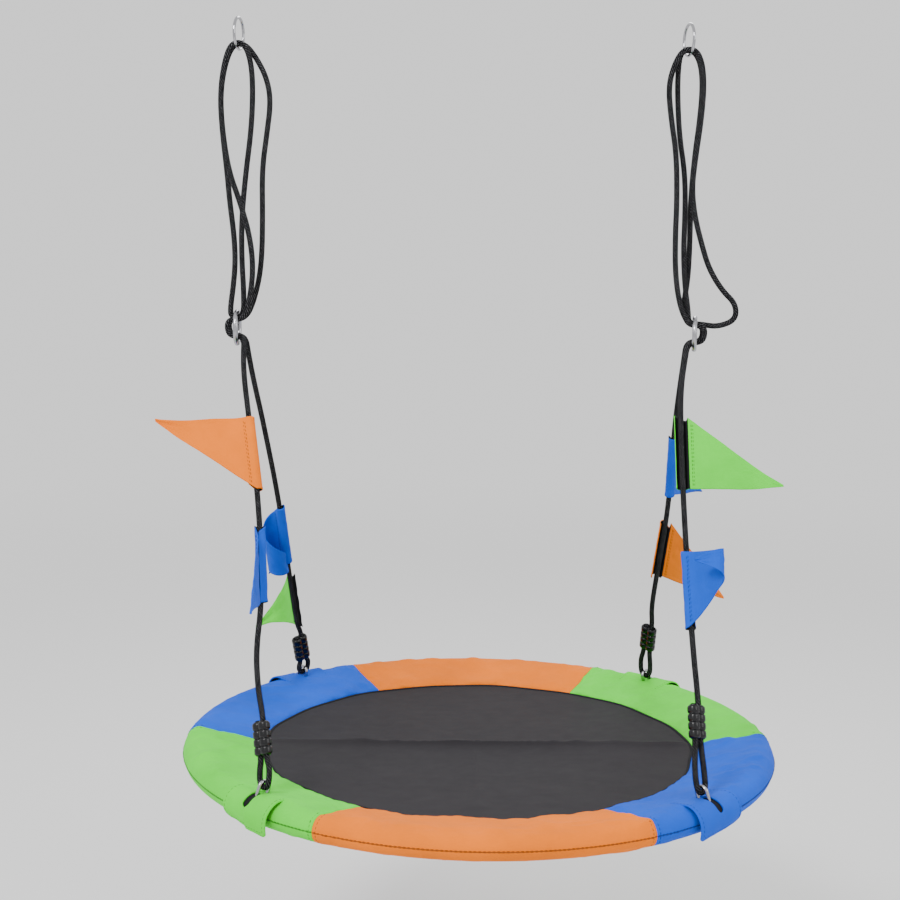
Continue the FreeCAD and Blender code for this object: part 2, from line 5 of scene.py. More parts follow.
import bmesh
import bpy
from bpy.props import FloatProperty, FloatVectorProperty, IntProperty, PointerProperty
from mathutils import Matrix, Quaternion, Vector, noise
from mathutils.bvhtree import BVHTree
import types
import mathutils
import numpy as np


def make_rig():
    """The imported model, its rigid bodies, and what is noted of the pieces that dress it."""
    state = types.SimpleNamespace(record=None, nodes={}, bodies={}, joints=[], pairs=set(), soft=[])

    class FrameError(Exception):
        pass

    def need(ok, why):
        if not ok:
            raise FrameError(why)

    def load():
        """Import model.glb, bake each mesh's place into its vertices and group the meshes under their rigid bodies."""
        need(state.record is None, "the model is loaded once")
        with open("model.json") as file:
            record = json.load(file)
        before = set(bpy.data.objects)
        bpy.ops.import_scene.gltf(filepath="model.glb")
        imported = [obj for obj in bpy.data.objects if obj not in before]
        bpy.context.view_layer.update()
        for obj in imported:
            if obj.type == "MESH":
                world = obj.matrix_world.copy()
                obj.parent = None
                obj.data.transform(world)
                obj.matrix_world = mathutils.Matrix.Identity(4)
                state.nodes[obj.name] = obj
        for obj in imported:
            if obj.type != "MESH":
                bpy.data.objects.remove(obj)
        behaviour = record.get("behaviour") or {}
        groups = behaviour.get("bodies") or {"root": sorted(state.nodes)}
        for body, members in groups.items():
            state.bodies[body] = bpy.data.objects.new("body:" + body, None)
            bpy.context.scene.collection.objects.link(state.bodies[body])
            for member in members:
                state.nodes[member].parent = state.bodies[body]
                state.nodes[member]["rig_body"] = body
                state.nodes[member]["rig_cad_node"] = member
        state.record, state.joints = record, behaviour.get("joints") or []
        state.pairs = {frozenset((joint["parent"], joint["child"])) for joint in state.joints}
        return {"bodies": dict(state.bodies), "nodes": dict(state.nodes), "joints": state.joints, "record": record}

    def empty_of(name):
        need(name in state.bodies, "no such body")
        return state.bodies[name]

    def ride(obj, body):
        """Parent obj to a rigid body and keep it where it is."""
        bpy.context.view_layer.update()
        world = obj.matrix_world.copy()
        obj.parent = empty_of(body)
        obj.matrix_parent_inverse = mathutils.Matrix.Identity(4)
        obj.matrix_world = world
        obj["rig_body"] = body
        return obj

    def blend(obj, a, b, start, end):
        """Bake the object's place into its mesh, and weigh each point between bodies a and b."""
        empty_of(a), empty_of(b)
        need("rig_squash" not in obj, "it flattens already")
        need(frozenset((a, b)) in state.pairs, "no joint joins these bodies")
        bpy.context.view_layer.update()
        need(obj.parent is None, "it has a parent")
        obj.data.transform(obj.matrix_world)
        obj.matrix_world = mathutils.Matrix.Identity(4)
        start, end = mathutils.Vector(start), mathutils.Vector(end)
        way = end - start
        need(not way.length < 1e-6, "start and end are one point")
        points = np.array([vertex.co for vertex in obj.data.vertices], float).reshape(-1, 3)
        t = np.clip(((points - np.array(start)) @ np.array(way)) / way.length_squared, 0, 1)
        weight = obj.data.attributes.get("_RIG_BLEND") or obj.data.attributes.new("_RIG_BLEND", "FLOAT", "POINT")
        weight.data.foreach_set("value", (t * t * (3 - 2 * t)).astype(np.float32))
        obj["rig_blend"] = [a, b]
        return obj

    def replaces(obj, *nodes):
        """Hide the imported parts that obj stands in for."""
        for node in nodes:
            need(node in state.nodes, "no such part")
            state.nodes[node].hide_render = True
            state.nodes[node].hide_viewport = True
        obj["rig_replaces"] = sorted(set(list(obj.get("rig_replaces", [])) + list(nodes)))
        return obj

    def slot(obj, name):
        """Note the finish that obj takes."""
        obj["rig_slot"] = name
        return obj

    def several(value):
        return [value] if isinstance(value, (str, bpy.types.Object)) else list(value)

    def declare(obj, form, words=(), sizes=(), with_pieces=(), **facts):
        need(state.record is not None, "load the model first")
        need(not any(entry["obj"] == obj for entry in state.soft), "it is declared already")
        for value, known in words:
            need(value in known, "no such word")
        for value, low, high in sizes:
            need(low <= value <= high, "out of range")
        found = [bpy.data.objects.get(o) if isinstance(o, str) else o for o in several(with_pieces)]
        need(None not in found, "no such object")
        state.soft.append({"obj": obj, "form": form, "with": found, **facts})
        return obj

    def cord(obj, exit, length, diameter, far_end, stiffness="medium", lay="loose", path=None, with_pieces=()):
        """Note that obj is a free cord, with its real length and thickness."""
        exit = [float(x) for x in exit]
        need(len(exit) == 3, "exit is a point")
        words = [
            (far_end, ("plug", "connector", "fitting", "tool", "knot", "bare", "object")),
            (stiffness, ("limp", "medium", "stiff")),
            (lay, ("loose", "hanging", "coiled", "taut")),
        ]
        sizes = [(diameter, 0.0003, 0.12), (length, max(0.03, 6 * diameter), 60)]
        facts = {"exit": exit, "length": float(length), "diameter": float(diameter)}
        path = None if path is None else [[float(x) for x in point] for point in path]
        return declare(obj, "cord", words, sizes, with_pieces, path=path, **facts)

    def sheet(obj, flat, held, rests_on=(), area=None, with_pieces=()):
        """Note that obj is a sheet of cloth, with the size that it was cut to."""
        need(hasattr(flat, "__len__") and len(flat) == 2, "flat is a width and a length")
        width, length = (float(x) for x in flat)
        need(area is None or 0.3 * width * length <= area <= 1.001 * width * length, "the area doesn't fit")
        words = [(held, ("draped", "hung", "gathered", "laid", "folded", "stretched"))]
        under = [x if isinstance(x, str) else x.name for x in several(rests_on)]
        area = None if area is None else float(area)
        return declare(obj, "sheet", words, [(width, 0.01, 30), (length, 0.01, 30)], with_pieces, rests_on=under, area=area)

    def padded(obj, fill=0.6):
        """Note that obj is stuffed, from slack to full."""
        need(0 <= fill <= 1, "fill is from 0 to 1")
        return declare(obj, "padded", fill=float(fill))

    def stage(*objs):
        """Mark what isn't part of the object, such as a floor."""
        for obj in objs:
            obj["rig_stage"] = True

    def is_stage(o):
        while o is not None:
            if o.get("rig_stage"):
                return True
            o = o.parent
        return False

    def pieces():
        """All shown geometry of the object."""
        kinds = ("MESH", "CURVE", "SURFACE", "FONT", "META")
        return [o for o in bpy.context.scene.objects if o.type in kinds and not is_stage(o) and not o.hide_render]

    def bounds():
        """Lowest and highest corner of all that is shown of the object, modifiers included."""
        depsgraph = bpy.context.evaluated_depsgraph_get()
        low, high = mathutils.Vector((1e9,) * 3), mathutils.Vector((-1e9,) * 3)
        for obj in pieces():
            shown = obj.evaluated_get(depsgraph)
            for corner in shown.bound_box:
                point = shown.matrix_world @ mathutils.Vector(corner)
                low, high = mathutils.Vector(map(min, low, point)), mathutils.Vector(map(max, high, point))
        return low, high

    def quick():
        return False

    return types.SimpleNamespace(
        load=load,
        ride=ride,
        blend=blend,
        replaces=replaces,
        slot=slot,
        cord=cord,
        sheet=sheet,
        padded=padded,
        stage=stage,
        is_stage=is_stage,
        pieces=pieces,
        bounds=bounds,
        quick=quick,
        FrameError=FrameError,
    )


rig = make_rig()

bl_info = {
    "name": "Saucer nest swing",
    "version": (1, 0, 0),
    "blender": (4, 5, 0),
    "location": "View3D > Sidebar > Nest swing",
    "description": "Builds the ropes, cloth, fittings and stage of a saucer nest swing",
    "category": "Object",
}

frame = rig.load()
CAD_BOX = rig.bounds()

# centre of the seat, radius of the hoop in its rim, and thickness of its ropes
SEAT = Vector((0.042, 0.0, -1.198))
HOOP = 0.4855
ROPE = 0.010
# name, colour and middle angle of each panel of the cover
SECTORS = (
    ("cover_front", "orange", 270.0),
    ("cover_front_right", "blue", 330.0),
    ("cover_back_right", "green", 30.0),
    ("cover_back", "orange", 90.0),
    ("cover_back_left", "blue", 150.0),
    ("cover_front_left", "green", 210.0),
)
# name, angle and flap colour of each place where a rope meets the rim
CORNERS = (
    ("front_left", 225.0, "green"),
    ("front_right", 315.0, "blue"),
    ("back_left", 135.0, "blue"),
    ("back_right", 45.0, "green"),
)


# ------------------------------------------------------------------ settings
class SwingRope(bpy.types.PropertyGroup):
    diameter: FloatProperty(
        name="Rope diameter", description="Thickness of the braided rope",
        default=ROPE, unit="LENGTH")
    step: FloatProperty(
        name="Braid step", description="Distance between rings of the rope's mesh",
        default=0.0013, unit="LENGTH")
    plait: FloatProperty(
        name="Plait length", description="Length of one diamond of the braid",
        default=0.0052, unit="LENGTH")
    relief: FloatProperty(
        name="Braid relief", description="Half the depth between strands and their gaps",
        default=0.0004, unit="LENGTH")
    sides: IntProperty(
        name="Sides", description="Points round the rope", default=24, min=8)


class SwingCloth(bpy.types.PropertyGroup):
    orange: FloatVectorProperty(
        name="Orange", description="Orange cloth", subtype="COLOR",
        default=(0.86, 0.185, 0.0))
    green: FloatVectorProperty(
        name="Green", description="Light green cloth", subtype="COLOR",
        default=(0.085, 0.72, 0.03))
    blue: FloatVectorProperty(
        name="Blue", description="Blue cloth", subtype="COLOR",
        default=(0.004, 0.085, 0.62))
    charcoal: FloatVectorProperty(
        name="Charcoal", description="Seat mat cloth", subtype="COLOR",
        default=(0.022, 0.020, 0.023))
    frame_radius: FloatProperty(
        name="Frame radius", description="Radius of the hoop inside the rim",
        default=HOOP, unit="LENGTH")
    bolster: FloatProperty(
        name="Rim radius", description="Radius of the padded rim's section",
        default=0.0210, unit="LENGTH")
    band_inner: FloatProperty(
        name="Band edge", description="Radius of the coloured band's inner edge",
        default=0.3705, unit="LENGTH")
    pressure: FloatProperty(
        name="Filling pressure", description="Cloth pressure that fills the cover",
        default=4.0)
    swell: FloatProperty(
        name="Largest swell", description="Furthest that a point of the cover may move",
        default=0.0042, unit="LENGTH")


class SwingStage(bpy.types.PropertyGroup):
    camera_place: FloatVectorProperty(
        name="Camera place", description="Where the camera stands", subtype="TRANSLATION",
        default=(-0.0296, -2.623, -0.3567))
    pitch: FloatProperty(
        name="Camera pitch", description="Angle the camera looks down",
        default=0.125, subtype="ANGLE")
    yaw: FloatProperty(
        name="Camera yaw", description="Angle the camera looks to the right",
        default=0.006, subtype="ANGLE")
    roll: FloatProperty(
        name="Camera roll", description="Turn of the camera about its own line of sight",
        default=0.014, subtype="ANGLE")
    lens: FloatProperty(
        name="Lens", description="Focal length", default=62.13)
    daylight: FloatProperty(
        name="Daylight", description="Strength of the light from all round", default=1.1)
    floor_drop: FloatProperty(
        name="Floor drop", description="Height of the floor below the hang rings",
        default=1.75, unit="LENGTH")


# ------------------------------------------------------------------ small helpers
def lerp(a, b, share):
    return a + (b - a) * share


def smooth(share):
    share = min(max(share, 0.0), 1.0)
    return share * share * (3.0 - 2.0 * share)


def wobble(point, scale, seed=0.0):
    """Smooth signed noise that is the same on every run."""
    return noise.noise(Vector(point) * scale + Vector((seed, 7.3 * seed, 3.1)))


def round_seat(degrees, radius, height):
    """Point at an angle, a distance and a height from the seat's centre."""
    angle = math.radians(degrees)
    return SEAT + Vector((radius * math.cos(angle), radius * math.sin(angle), height))


def finish_object(name, mesh, material, body, slot):
    """Object with its finish, the body it rides on and the colour slot it fills."""
    obj = bpy.data.objects.new(name, mesh)
    bpy.context.scene.collection.objects.link(obj)
    if material is not None:
        mesh.materials.append(material)
    for face in mesh.polygons:
        face.use_smooth = True
    if body:
        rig.ride(obj, body)
    if slot:
        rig.slot(obj, slot)
    return obj


def patch(across, along, place, size=(1.0, 1.0), weights=None, panels=1):
    """Grid laid on a surface: place(u, v) gives each point, and the UV map holds metres.
    weights(u, v) fills the first vertex group, and panels numbers equal shares across."""
    bm = bmesh.new()
    bmesh.ops.create_grid(bm, x_segments=across, y_segments=along, size=1.0)
    layer = bm.loops.layers.uv.new("weave")
    panel = bm.faces.layers.int.new("panel")
    deform = bm.verts.layers.deform.verify() if weights else None
    for face in bm.faces:
        middle = face.calc_center_median()
        face[panel] = int(0.5 * (middle.x + 1.0) * panels)
        for loop in face.loops:
            co = loop.vert.co
            loop[layer].uv = (0.5 * (co.x + 1.0) * size[0], 0.5 * (co.y + 1.0) * size[1])
    for vert in bm.verts:
        u, v = 0.5 * (vert.co.x + 1.0), 0.5 * (vert.co.y + 1.0)
        if weights:
            vert[deform][0] = weights(u, v)
        vert.co = place(u, v)
    bmesh.ops.remove_doubles(bm, verts=bm.verts, dist=1e-6)
    return bm


def to_mesh(bm, name):
    mesh = bpy.data.meshes.new(name)
    bm.to_mesh(mesh)
    bm.free()
    return mesh


def outward(bm):
    """Turns a closed shape's faces outward."""
    bmesh.ops.recalc_face_normals(bm, faces=bm.faces)
    return bm


def face_away(bm, middle):
    """Turns an open sheet's faces away from a point."""
    bmesh.ops.recalc_face_normals(bm, faces=bm.faces)
    if sum((f.calc_center_median() - middle).dot(f.normal) for f in bm.faces) < 0:
        bmesh.ops.reverse_faces(bm, faces=bm.faces)
    return bm


def add_modifier(obj, kind, name, **values):
    modifier = obj.modifiers.new(name, kind)
    for key, value in values.items():
        setattr(modifier, key, value)
    return modifier


def apply_modifiers(obj):
    graph = bpy.context.evaluated_depsgraph_get()
    mesh = bpy.data.meshes.new_from_object(obj.evaluated_get(graph), depsgraph=graph)
    old = obj.data
    obj.modifiers.clear()
    obj.data = mesh
    bpy.data.meshes.remove(old)
    return obj


# ------------------------------------------------------------------ materials
class Shader:
    """A principled material and the few node patterns this swing needs."""

    def __init__(self, name, colour, roughness, **values):
        self.material = bpy.data.materials.new(name)
        self.material.use_nodes = True
        self.material.diffuse_color = (*colour, 1.0)
        self.nodes = self.material.node_tree.nodes
        self.links = self.material.node_tree.links
        self.surface = self.nodes["Principled BSDF"]
        self.surface.inputs["Base Color"].default_value = (*colour, 1.0)
        self.surface.inputs["Roughness"].default_value = roughness
        for key, value in values.items():
            self.surface.inputs[key.replace("_", " ")].default_value = value

    def node(self, kind, **values):
        made = self.nodes.new(kind)
        for key, value in values.items():
            if key in made.inputs.keys():
                made.inputs[key].default_value = value
            else:
                setattr(made, key, value)
        return made

    def join(self, source, target):
        self.links.new(source, target)

    def object_point(self):
        return self.node("ShaderNodeTexCoord").outputs["Object"]

    def uv_point(self):
        return self.node("ShaderNodeUVMap", uv_map="weave").outputs["UV"]

    def noise(self, point, scale, detail=3.0, rough=0.5):
        made = self.node("ShaderNodeTexNoise", Scale=scale, Detail=detail, Roughness=rough)
        self.join(point, made.inputs["Vector"])
        return made.outputs["Fac"]

    def math(self, operation, first, second):
        made = self.node("ShaderNodeMath", operation=operation)
        for socket, value in zip(made.inputs, (first, second)):
            if isinstance(value, (int, float)):
                socket.default_value = value
            else:
                self.join(value, socket)
        return made.outputs[0]

    def threads(self, point, pitch):
        """Plain weave: over-and-under threads, pitch apart, as a height from 0 to 1."""
        split = self.node("ShaderNodeSeparateXYZ")
        self.join(point, split.inputs[0])
        turn = 2.0 * math.pi / pitch
        warp = self.math("SINE", self.math("MULTIPLY", split.outputs[0], turn), 0.0)
        weft = self.math("SINE", self.math("MULTIPLY", split.outputs[1], turn), 0.0)
        both = self.math("MULTIPLY", warp, weft)
        return self.math("MULTIPLY_ADD", both, 0.5)

    def blend_colour(self, factor, first, second):
        ramp = self.node("ShaderNodeValToRGB")
        ramp.color_ramp.elements[0].color = (*first, 1.0)
        ramp.color_ramp.elements[1].color = (*second, 1.0)
        self.join(factor, ramp.inputs["Fac"])
        return ramp

    def bump(self, height, strength, distance, under=None):
        made = self.node("ShaderNodeBump", Strength=strength, Distance=distance)
        self.join(height, made.inputs["Height"])
        if under is not None:
            self.join(under, made.inputs["Normal"])
        return made.outputs["Normal"]


def shade(colour, factor):
    return tuple(min(1.0, c * factor) for c in colour)


def cloth_material(name, colour, pitch=0.0011, crumple=1.0, roughness=0.75, sheen=0.02,
                   contrast=0.10):
    """Woven cloth: threads that follow the piece, soft crumpling and uneven dye."""
    shader = Shader(name, colour, roughness, Sheen_Weight=sheen, Sheen_Roughness=0.4,
                    Specular_IOR_Level=0.12)
    point = shader.object_point()
    tone = shader.noise(point, 9.0, 5.0, 0.6)
    ramp = shader.blend_colour(tone, shade(colour, 1.0 - contrast), shade(colour, 1.0 + contrast))
    ramp.color_ramp.elements[0].position = 0.3
    ramp.color_ramp.elements[1].position = 0.7
    shader.join(ramp.outputs["Color"], shader.surface.inputs["Base Color"])
    weave = shader.threads(shader.uv_point(), pitch)
    creases = shader.noise(point, 38.0, 4.0, 0.55)
    folds = shader.noise(point, 11.0, 2.0, 0.4)
    normal = shader.bump(folds, 0.55 * crumple, 0.016)
    normal = shader.bump(creases, 0.42 * crumple, 0.004, normal)
    normal = shader.bump(weave, 0.35, 0.0003, normal)
    shader.join(normal, shader.surface.inputs["Normal"])
    rough = shader.math("MULTIPLY_ADD", creases, 0.12)
    rough.node.inputs[2].default_value = roughness - 0.06
    shader.join(rough, shader.surface.inputs["Roughness"])
    return shader.material


def thread_material(name, colour):
    """Twisted sewing thread."""
    shader = Shader(name, colour, 0.6, Specular_IOR_Level=0.2)
    twist = shader.noise(shader.object_point(), 1400.0, 2.0)
    ramp = shader.blend_colour(twist, shade(colour, 0.7), shade(colour, 1.3))
    shader.join(ramp.outputs["Color"], shader.surface.inputs["Base Color"])
    shader.join(shader.bump(twist, 0.3, 0.0002), shader.surface.inputs["Normal"])
    return shader.material


def rope_material(settings):
    """Black braided cord with fine grey flecks on its raised plaits."""
    shader = Shader("braided_rope", (0.004, 0.004, 0.005), 0.62, Specular_IOR_Level=0.06)
    split = shader.node("ShaderNodeSeparateXYZ")
    shader.join(shader.uv_point(), split.inputs[0])
    along = shader.math("MULTIPLY", split.outputs[0], 2.0 * math.pi / settings.plait)
    around = shader.math("MULTIPLY", split.outputs[1], 2.0 * math.pi * BRAID_PAIRS)
    first = shader.math("SINE", shader.math("ADD", along, around), 0.0)
    second = shader.math("SINE", shader.math("SUBTRACT", along, around), 0.0)
    plait = shader.math("MULTIPLY", first, second)
    fibres = shader.math("SINE", shader.math("MULTIPLY", shader.math(
        "ADD", along, around), 5.0), 0.0)
    fleck = shader.noise(shader.object_point(), 900.0, 2.0)
    mark = shader.math("MULTIPLY", shader.math("GREATER_THAN", first, 0.72), fleck)
    ramp = shader.blend_colour(mark, (0.003, 0.003, 0.004), (0.20, 0.20, 0.21))
    ramp.color_ramp.elements[0].position = 0.42
    ramp.color_ramp.elements[1].position = 0.68
    shader.join(ramp.outputs["Color"], shader.surface.inputs["Base Color"])
    normal = shader.bump(plait, 0.5, 0.0006)
    normal = shader.bump(fibres, 0.25, 0.0002, normal)
    shader.join(normal, shader.surface.inputs["Normal"])
    return shader.material


def metal_material(name, colour, roughness, scratch=0.15):
    shader = Shader(name, colour, roughness, Metallic=1.0)
    grain = shader.noise(shader.object_point(), 160.0, 4.0, 0.6)
    value = shader.math("MULTIPLY_ADD", grain, scratch)
    value.node.inputs[2].default_value = roughness - 0.4 * scratch
    shader.join(value, shader.surface.inputs["Roughness"])
    tone = shader.noise(shader.object_point(), 40.0, 3.0)
    ramp = shader.blend_colour(tone, shade(colour, 0.86), shade(colour, 1.08))
    shader.join(ramp.outputs["Color"], shader.surface.inputs["Base Color"])
    shader.join(shader.bump(grain, 0.06, 0.0004), shader.surface.inputs["Normal"])
    return shader.material


def plastic_material(name, colour, roughness):
    shader = Shader(name, colour, roughness, Specular_IOR_Level=0.35)
    grain = shader.noise(shader.object_point(), 300.0, 3.0)
    shader.join(shader.bump(grain, 0.05, 0.0003), shader.surface.inputs["Normal"])
    value = shader.math("MULTIPLY_ADD", grain, 0.12)
    value.node.inputs[2].default_value = roughness - 0.05
    shader.join(value, shader.surface.inputs["Roughness"])
    return shader.material


def foam_material():
    shader = Shader("closed_cell_foam", (0.05, 0.05, 0.055), 0.85)
    cells = shader.node("ShaderNodeTexVoronoi", Scale=700.0)
    shader.join(shader.object_point(), cells.inputs["Vector"])
    shader.join(shader.bump(cells.outputs["Distance"], 0.4, 0.0004),
                shader.surface.inputs["Normal"])
    return shader.material


def floor_material():
    """Pale floor that brightens to the daylight's own level far from the swing."""
    shader = Shader("pale_floor", (0.82, 0.82, 0.82), 0.9, Specular_IOR_Level=0.1)
    tone = shader.noise(shader.object_point(), 0.6, 2.0)
    ramp = shader.blend_colour(tone, (0.81, 0.81, 0.81), (0.83, 0.83, 0.83))
    shader.join(ramp.outputs["Color"], shader.surface.inputs["Base Color"])
    reach = shader.node("ShaderNodeVectorMath", operation="LENGTH")
    shader.join(shader.object_point(), reach.inputs[0])
    fade = shader.node("ShaderNodeMapRange", interpolation_type="SMOOTHSTEP")
    for socket, value in zip(("From Min", "From Max"), (2.3, 7.5)):
        fade.inputs[socket].default_value = value
    shader.join(reach.outputs["Value"], fade.inputs["Value"])
    glow = shader.node("ShaderNodeEmission", Strength=bpy.context.scene.swing_stage.daylight)
    mix = shader.node("ShaderNodeMixShader")
    shader.join(fade.outputs["Result"], mix.inputs["Fac"])
    shader.join(shader.surface.outputs["BSDF"], mix.inputs[1])
    shader.join(glow.outputs["Emission"], mix.inputs[2])
    shader.join(mix.outputs["Shader"], shader.nodes["Material Output"].inputs["Surface"])
    return shader.material


MATERIALS = {}


def material(name):
    """Each finish is made once, the first time a piece asks for it."""
    cloth = bpy.context.scene.swing_cloth
    makers = {
        "orange": lambda: cloth_material("cloth_orange", tuple(cloth.orange)),
        "green": lambda: cloth_material("cloth_green", tuple(cloth.green)),
        "blue": lambda: cloth_material("cloth_blue", tuple(cloth.blue)),
        "mat": lambda: cloth_material("cloth_charcoal", tuple(cloth.charcoal), 0.0016, 0.5,
                                      0.7, 0.0, 0.05),
        "binding": lambda: cloth_material("cloth_binding", (0.012, 0.012, 0.014), 0.0013,
                                          0.5, 0.8, 0.0),
        # near-black cloth for hidden inner sides: painted shade under the flaps, under their slots and inside the
        # pennant sleeves
        "shade_cloth": lambda: cloth_material("cloth_lining", (0.010, 0.010, 0.012), 0.0013,
                                         0.5, 0.8, 0.0),
        "rope": lambda: rope_material(bpy.context.scene.swing_rope),
        "chrome": lambda: metal_material("chromed_steel", (0.42, 0.42, 0.44), 0.12, 0.06),
        "zinc": lambda: metal_material("zinc_plate", (0.40, 0.40, 0.42), 0.24, 0.16),
        "steel": lambda: metal_material("painted_steel", (0.16, 0.165, 0.17), 0.45, 0.2),
        "ferrule": lambda: plastic_material("gloss_black", (0.003, 0.003, 0.004), 0.26),
        "foam": foam_material,
        "thread_orange": lambda: thread_material("thread_orange", shade(cloth.orange, 0.30)),
        "thread_green": lambda: thread_material("thread_green", shade(cloth.green, 0.30)),
        "thread_blue": lambda: thread_material("thread_blue", shade(cloth.blue, 0.30)),
        "floor": floor_material,
    }
    if name not in MATERIALS:
        MATERIALS[name] = makers[name]()
    return MATERIALS[name]


# ------------------------------------------------------------------ ropes
# Control points in millimetres, from the adjuster ring over the hang ring twice and back.
UPPER_LEFT = (
    (-390, -10.5, -480.5), (-390, -10.5, -469), (-363, -10.5, -469), (-353, -12, -440),
    (-346, -14, -385), (-352, -14, -329), (-369, -13, -272), (-387, -10, -225),
    (-398, -7, -157), (-401, -7, -98), (-394, -7, -48), (-382.5, -6, -16),
    (-361, -6, -16), (-350, -7, -46), (-347, -7, -92), (-350, -6, -156),
    (-360, -4, -230), (-367, -2, -304), (-367, -1, -370), (-364, 0, -420),
    (-364, 0, -466), (-386, 0, -466), (-386, 0, -446), (-382, 4, -415),
    (-379, 9, -374), (-381, 9, -329), (-388, 8, -274), (-392, 7, -225),
    (-400, 7, -156), (-403, 7, -98), (-395, 7, -48), (-381, 6, -16),
    (-361, 6, -16), (-343, 7, -38), (-326, 7, -70), (-319, 7, -108),
    (-326, 7, -163), (-334, 8, -221), (-333, 8, -303), (-335, 9, -380),
    (-347, 10, -436), (-362, 10.5, -469), (-390, 10.5, -469), (-390, 10.5, -480.5))
UPPER_RIGHT = (
    (411, -10.5, -480.5), (411, -10.5, -469), (384, -10.5, -469), (368, -10, -437),
    (359, -9, -385), (357, -8, -325), (358, -8, -261), (355, -7, -187),
    (344, -7, -127), (338, -7, -76), (347, -7, -40), (361, -6, -16),
    (382, -6, -16), (393, -7, -38), (397, -7, -76), (394, -7, -130),
    (387, -8, -187), (382, -8, -240), (388, -8, -286), (402, -8, -335),
    (415, -7, -373), (438, -6, -409), (463, -5, -432), (464, -3, -459),
    (434, -1, -471), (407, 0, -467), (385, 0, -466), (384, 0, -444),
    (377, 2, -402), (373, 3, -343), (374, 3, -285), (372, 4, -219),
    (361, 6, -158), (356, 7, -96), (355, 7, -48), (359, 6, -16),
    (381, 6, -16), (393, 7, -38), (397, 7, -76), (394, 8, -130),
    (388, 10, -187), (384, 13, -260), (385, 13, -326), (384, 13, -390),
    (377, 12, -438), (384, 10.5, -469), (411, 10.5, -469), (411, 10.5, -480.5))
# Leg ropes: staple to ferrule distance, then points from the adjuster ring down.
LEGS = {
    "front_left": (65.0, (
        (-390, -10.5, -480.5), (-390, -10, -497), (-362, -9, -497), (-362, -24, -530),
        (-358, -43, -568), (-349, -67, -615), (-322, -141, -762), (-309, -212, -903),
        (-315, -248, -975), (-308, -277, -1031))),
    "back_left": (48.0, (
        (-390, 10.5, -480.5), (-390, 10, -497), (-362, 9, -497), (-359, 24, -530),
        (-353, 48, -578), (-342, 84, -648), (-322, 160, -800), (-311, 236, -949),
        (-301, 291, -1064))),
    "front_right": (98.0, (
        (411, -10.5, -480.5), (411, -10, -497), (384, -9, -497), (377, -24, -529),
        (370, -42, -565), (366, -66, -612), (365, -133, -746), (368, -206, -891),
        (371, -248, -974))),
    "back_right": (82.0, (
        (411, 10.5, -480.5), (411, 10, -497), (384, 9, -497), (383, 24, -530),
        (381, 51, -585), (380, 88, -657), (386, 160, -800), (378, 236, -950),
        (375, 270, -1018))),
}
# height of the staple's loop over the hoop, and its lean towards the seat's centre
STAPLE_REACH, STAPLE_TILT = 0.043, math.radians(22.0)
# half the ferrule's length, and half the distance between the two ropes through it
FERRULE_HALF, ROPES_APART = 0.025, 0.0058
# the rope's loop through the staple: depth under the wire, half its run along the wire, half
# its width above it and the height where that width is reached
LOOP_DEPTH, LOOP_RUN, LOOP_WIDTH, LOOP_HEIGHT = 0.0092, 0.010, 0.012, 0.022
# strands round the braid that lean each way, and how far its relief goes inward
BRAID_PAIRS, BRAID_SINK = 6, 1.2
ROUTE_STEP = 0.006
# heights where a leg rope stops following the upper ropes and starts following the seat
BLEND_FROM, BLEND_TO = -0.483, -0.535


def metres(rows):
    return [Vector(row) * 0.001 for row in rows]


def eye_frame(corner, angle):
    """Staple wire, leg direction, sideways direction and ferrule centre of one corner."""
    distance, rows = LEGS[corner]
    last = metres(rows)[-1]
    turn = math.radians(angle)
    radial = Vector((math.cos(turn), math.sin(turn), 0))
    pull = radial * -math.sin(STAPLE_TILT) + Vector((0, 0, math.cos(STAPLE_TILT)))
    wire = round_seat(angle, HOOP, 0) + pull * STAPLE_REACH
    along = (last - wire).normalized()
    tangent = Vector((-math.sin(turn), math.cos(turn), 0))
    across = (tangent - along * tangent.dot(along)).normalized()
    if across.x < 0:
        across = -across
    level = tangent * math.copysign(1.0, across.dot(tangent))
    return wire, along, across, wire + along * distance * 0.001, pull, level


def leg_points(corner, angle):
    """Route of a leg rope: down through its ferrule, round the staple and back up."""
    wire, along, across, ferrule, pull, level = eye_frame(corner, angle)
    half, side = FERRULE_HALF, across * ROPES_APART
    below = wire - pull * LOOP_DEPTH
    throat = min(0.5 * (ferrule - wire).dot(along) - 0.5 * half, LOOP_HEIGHT)
    return metres(LEGS[corner][1]) + [
        ferrule + along * (half + 0.012) + side, ferrule - along * (half + 0.006) + side,
        wire + along * throat + across * LOOP_WIDTH, below + level * LOOP_RUN,
        below - level * LOOP_RUN, wire + along * throat - across * LOOP_WIDTH,
        ferrule - along * (half + 0.006) - side, ferrule + along * (half + 0.003) - side]


def spline_line(name, points):
    """Points read from a NURBS spline through the route's control points."""
    curve = bpy.data.curves.new(name, "CURVE")
    curve.dimensions = "3D"
    curve.resolution_u = 24
    spline = curve.splines.new("NURBS")
    spline.points.add(len(points) - 1)
    for target, point in zip(spline.points, points):
        target.co = (*point, 1.0)
    spline.order_u = 3
    spline.use_endpoint_u = True
    holder = bpy.data.objects.new(name, curve)
    bpy.context.scene.collection.objects.link(holder)
    graph = bpy.context.evaluated_depsgraph_get()
    mesh = bpy.data.meshes.new_from_object(holder.evaluated_get(graph))
    line = [v.co.copy() for v in mesh.vertices]
    bpy.data.meshes.remove(mesh)
    bpy.data.objects.remove(holder)
    bpy.data.curves.remove(curve)
    return line


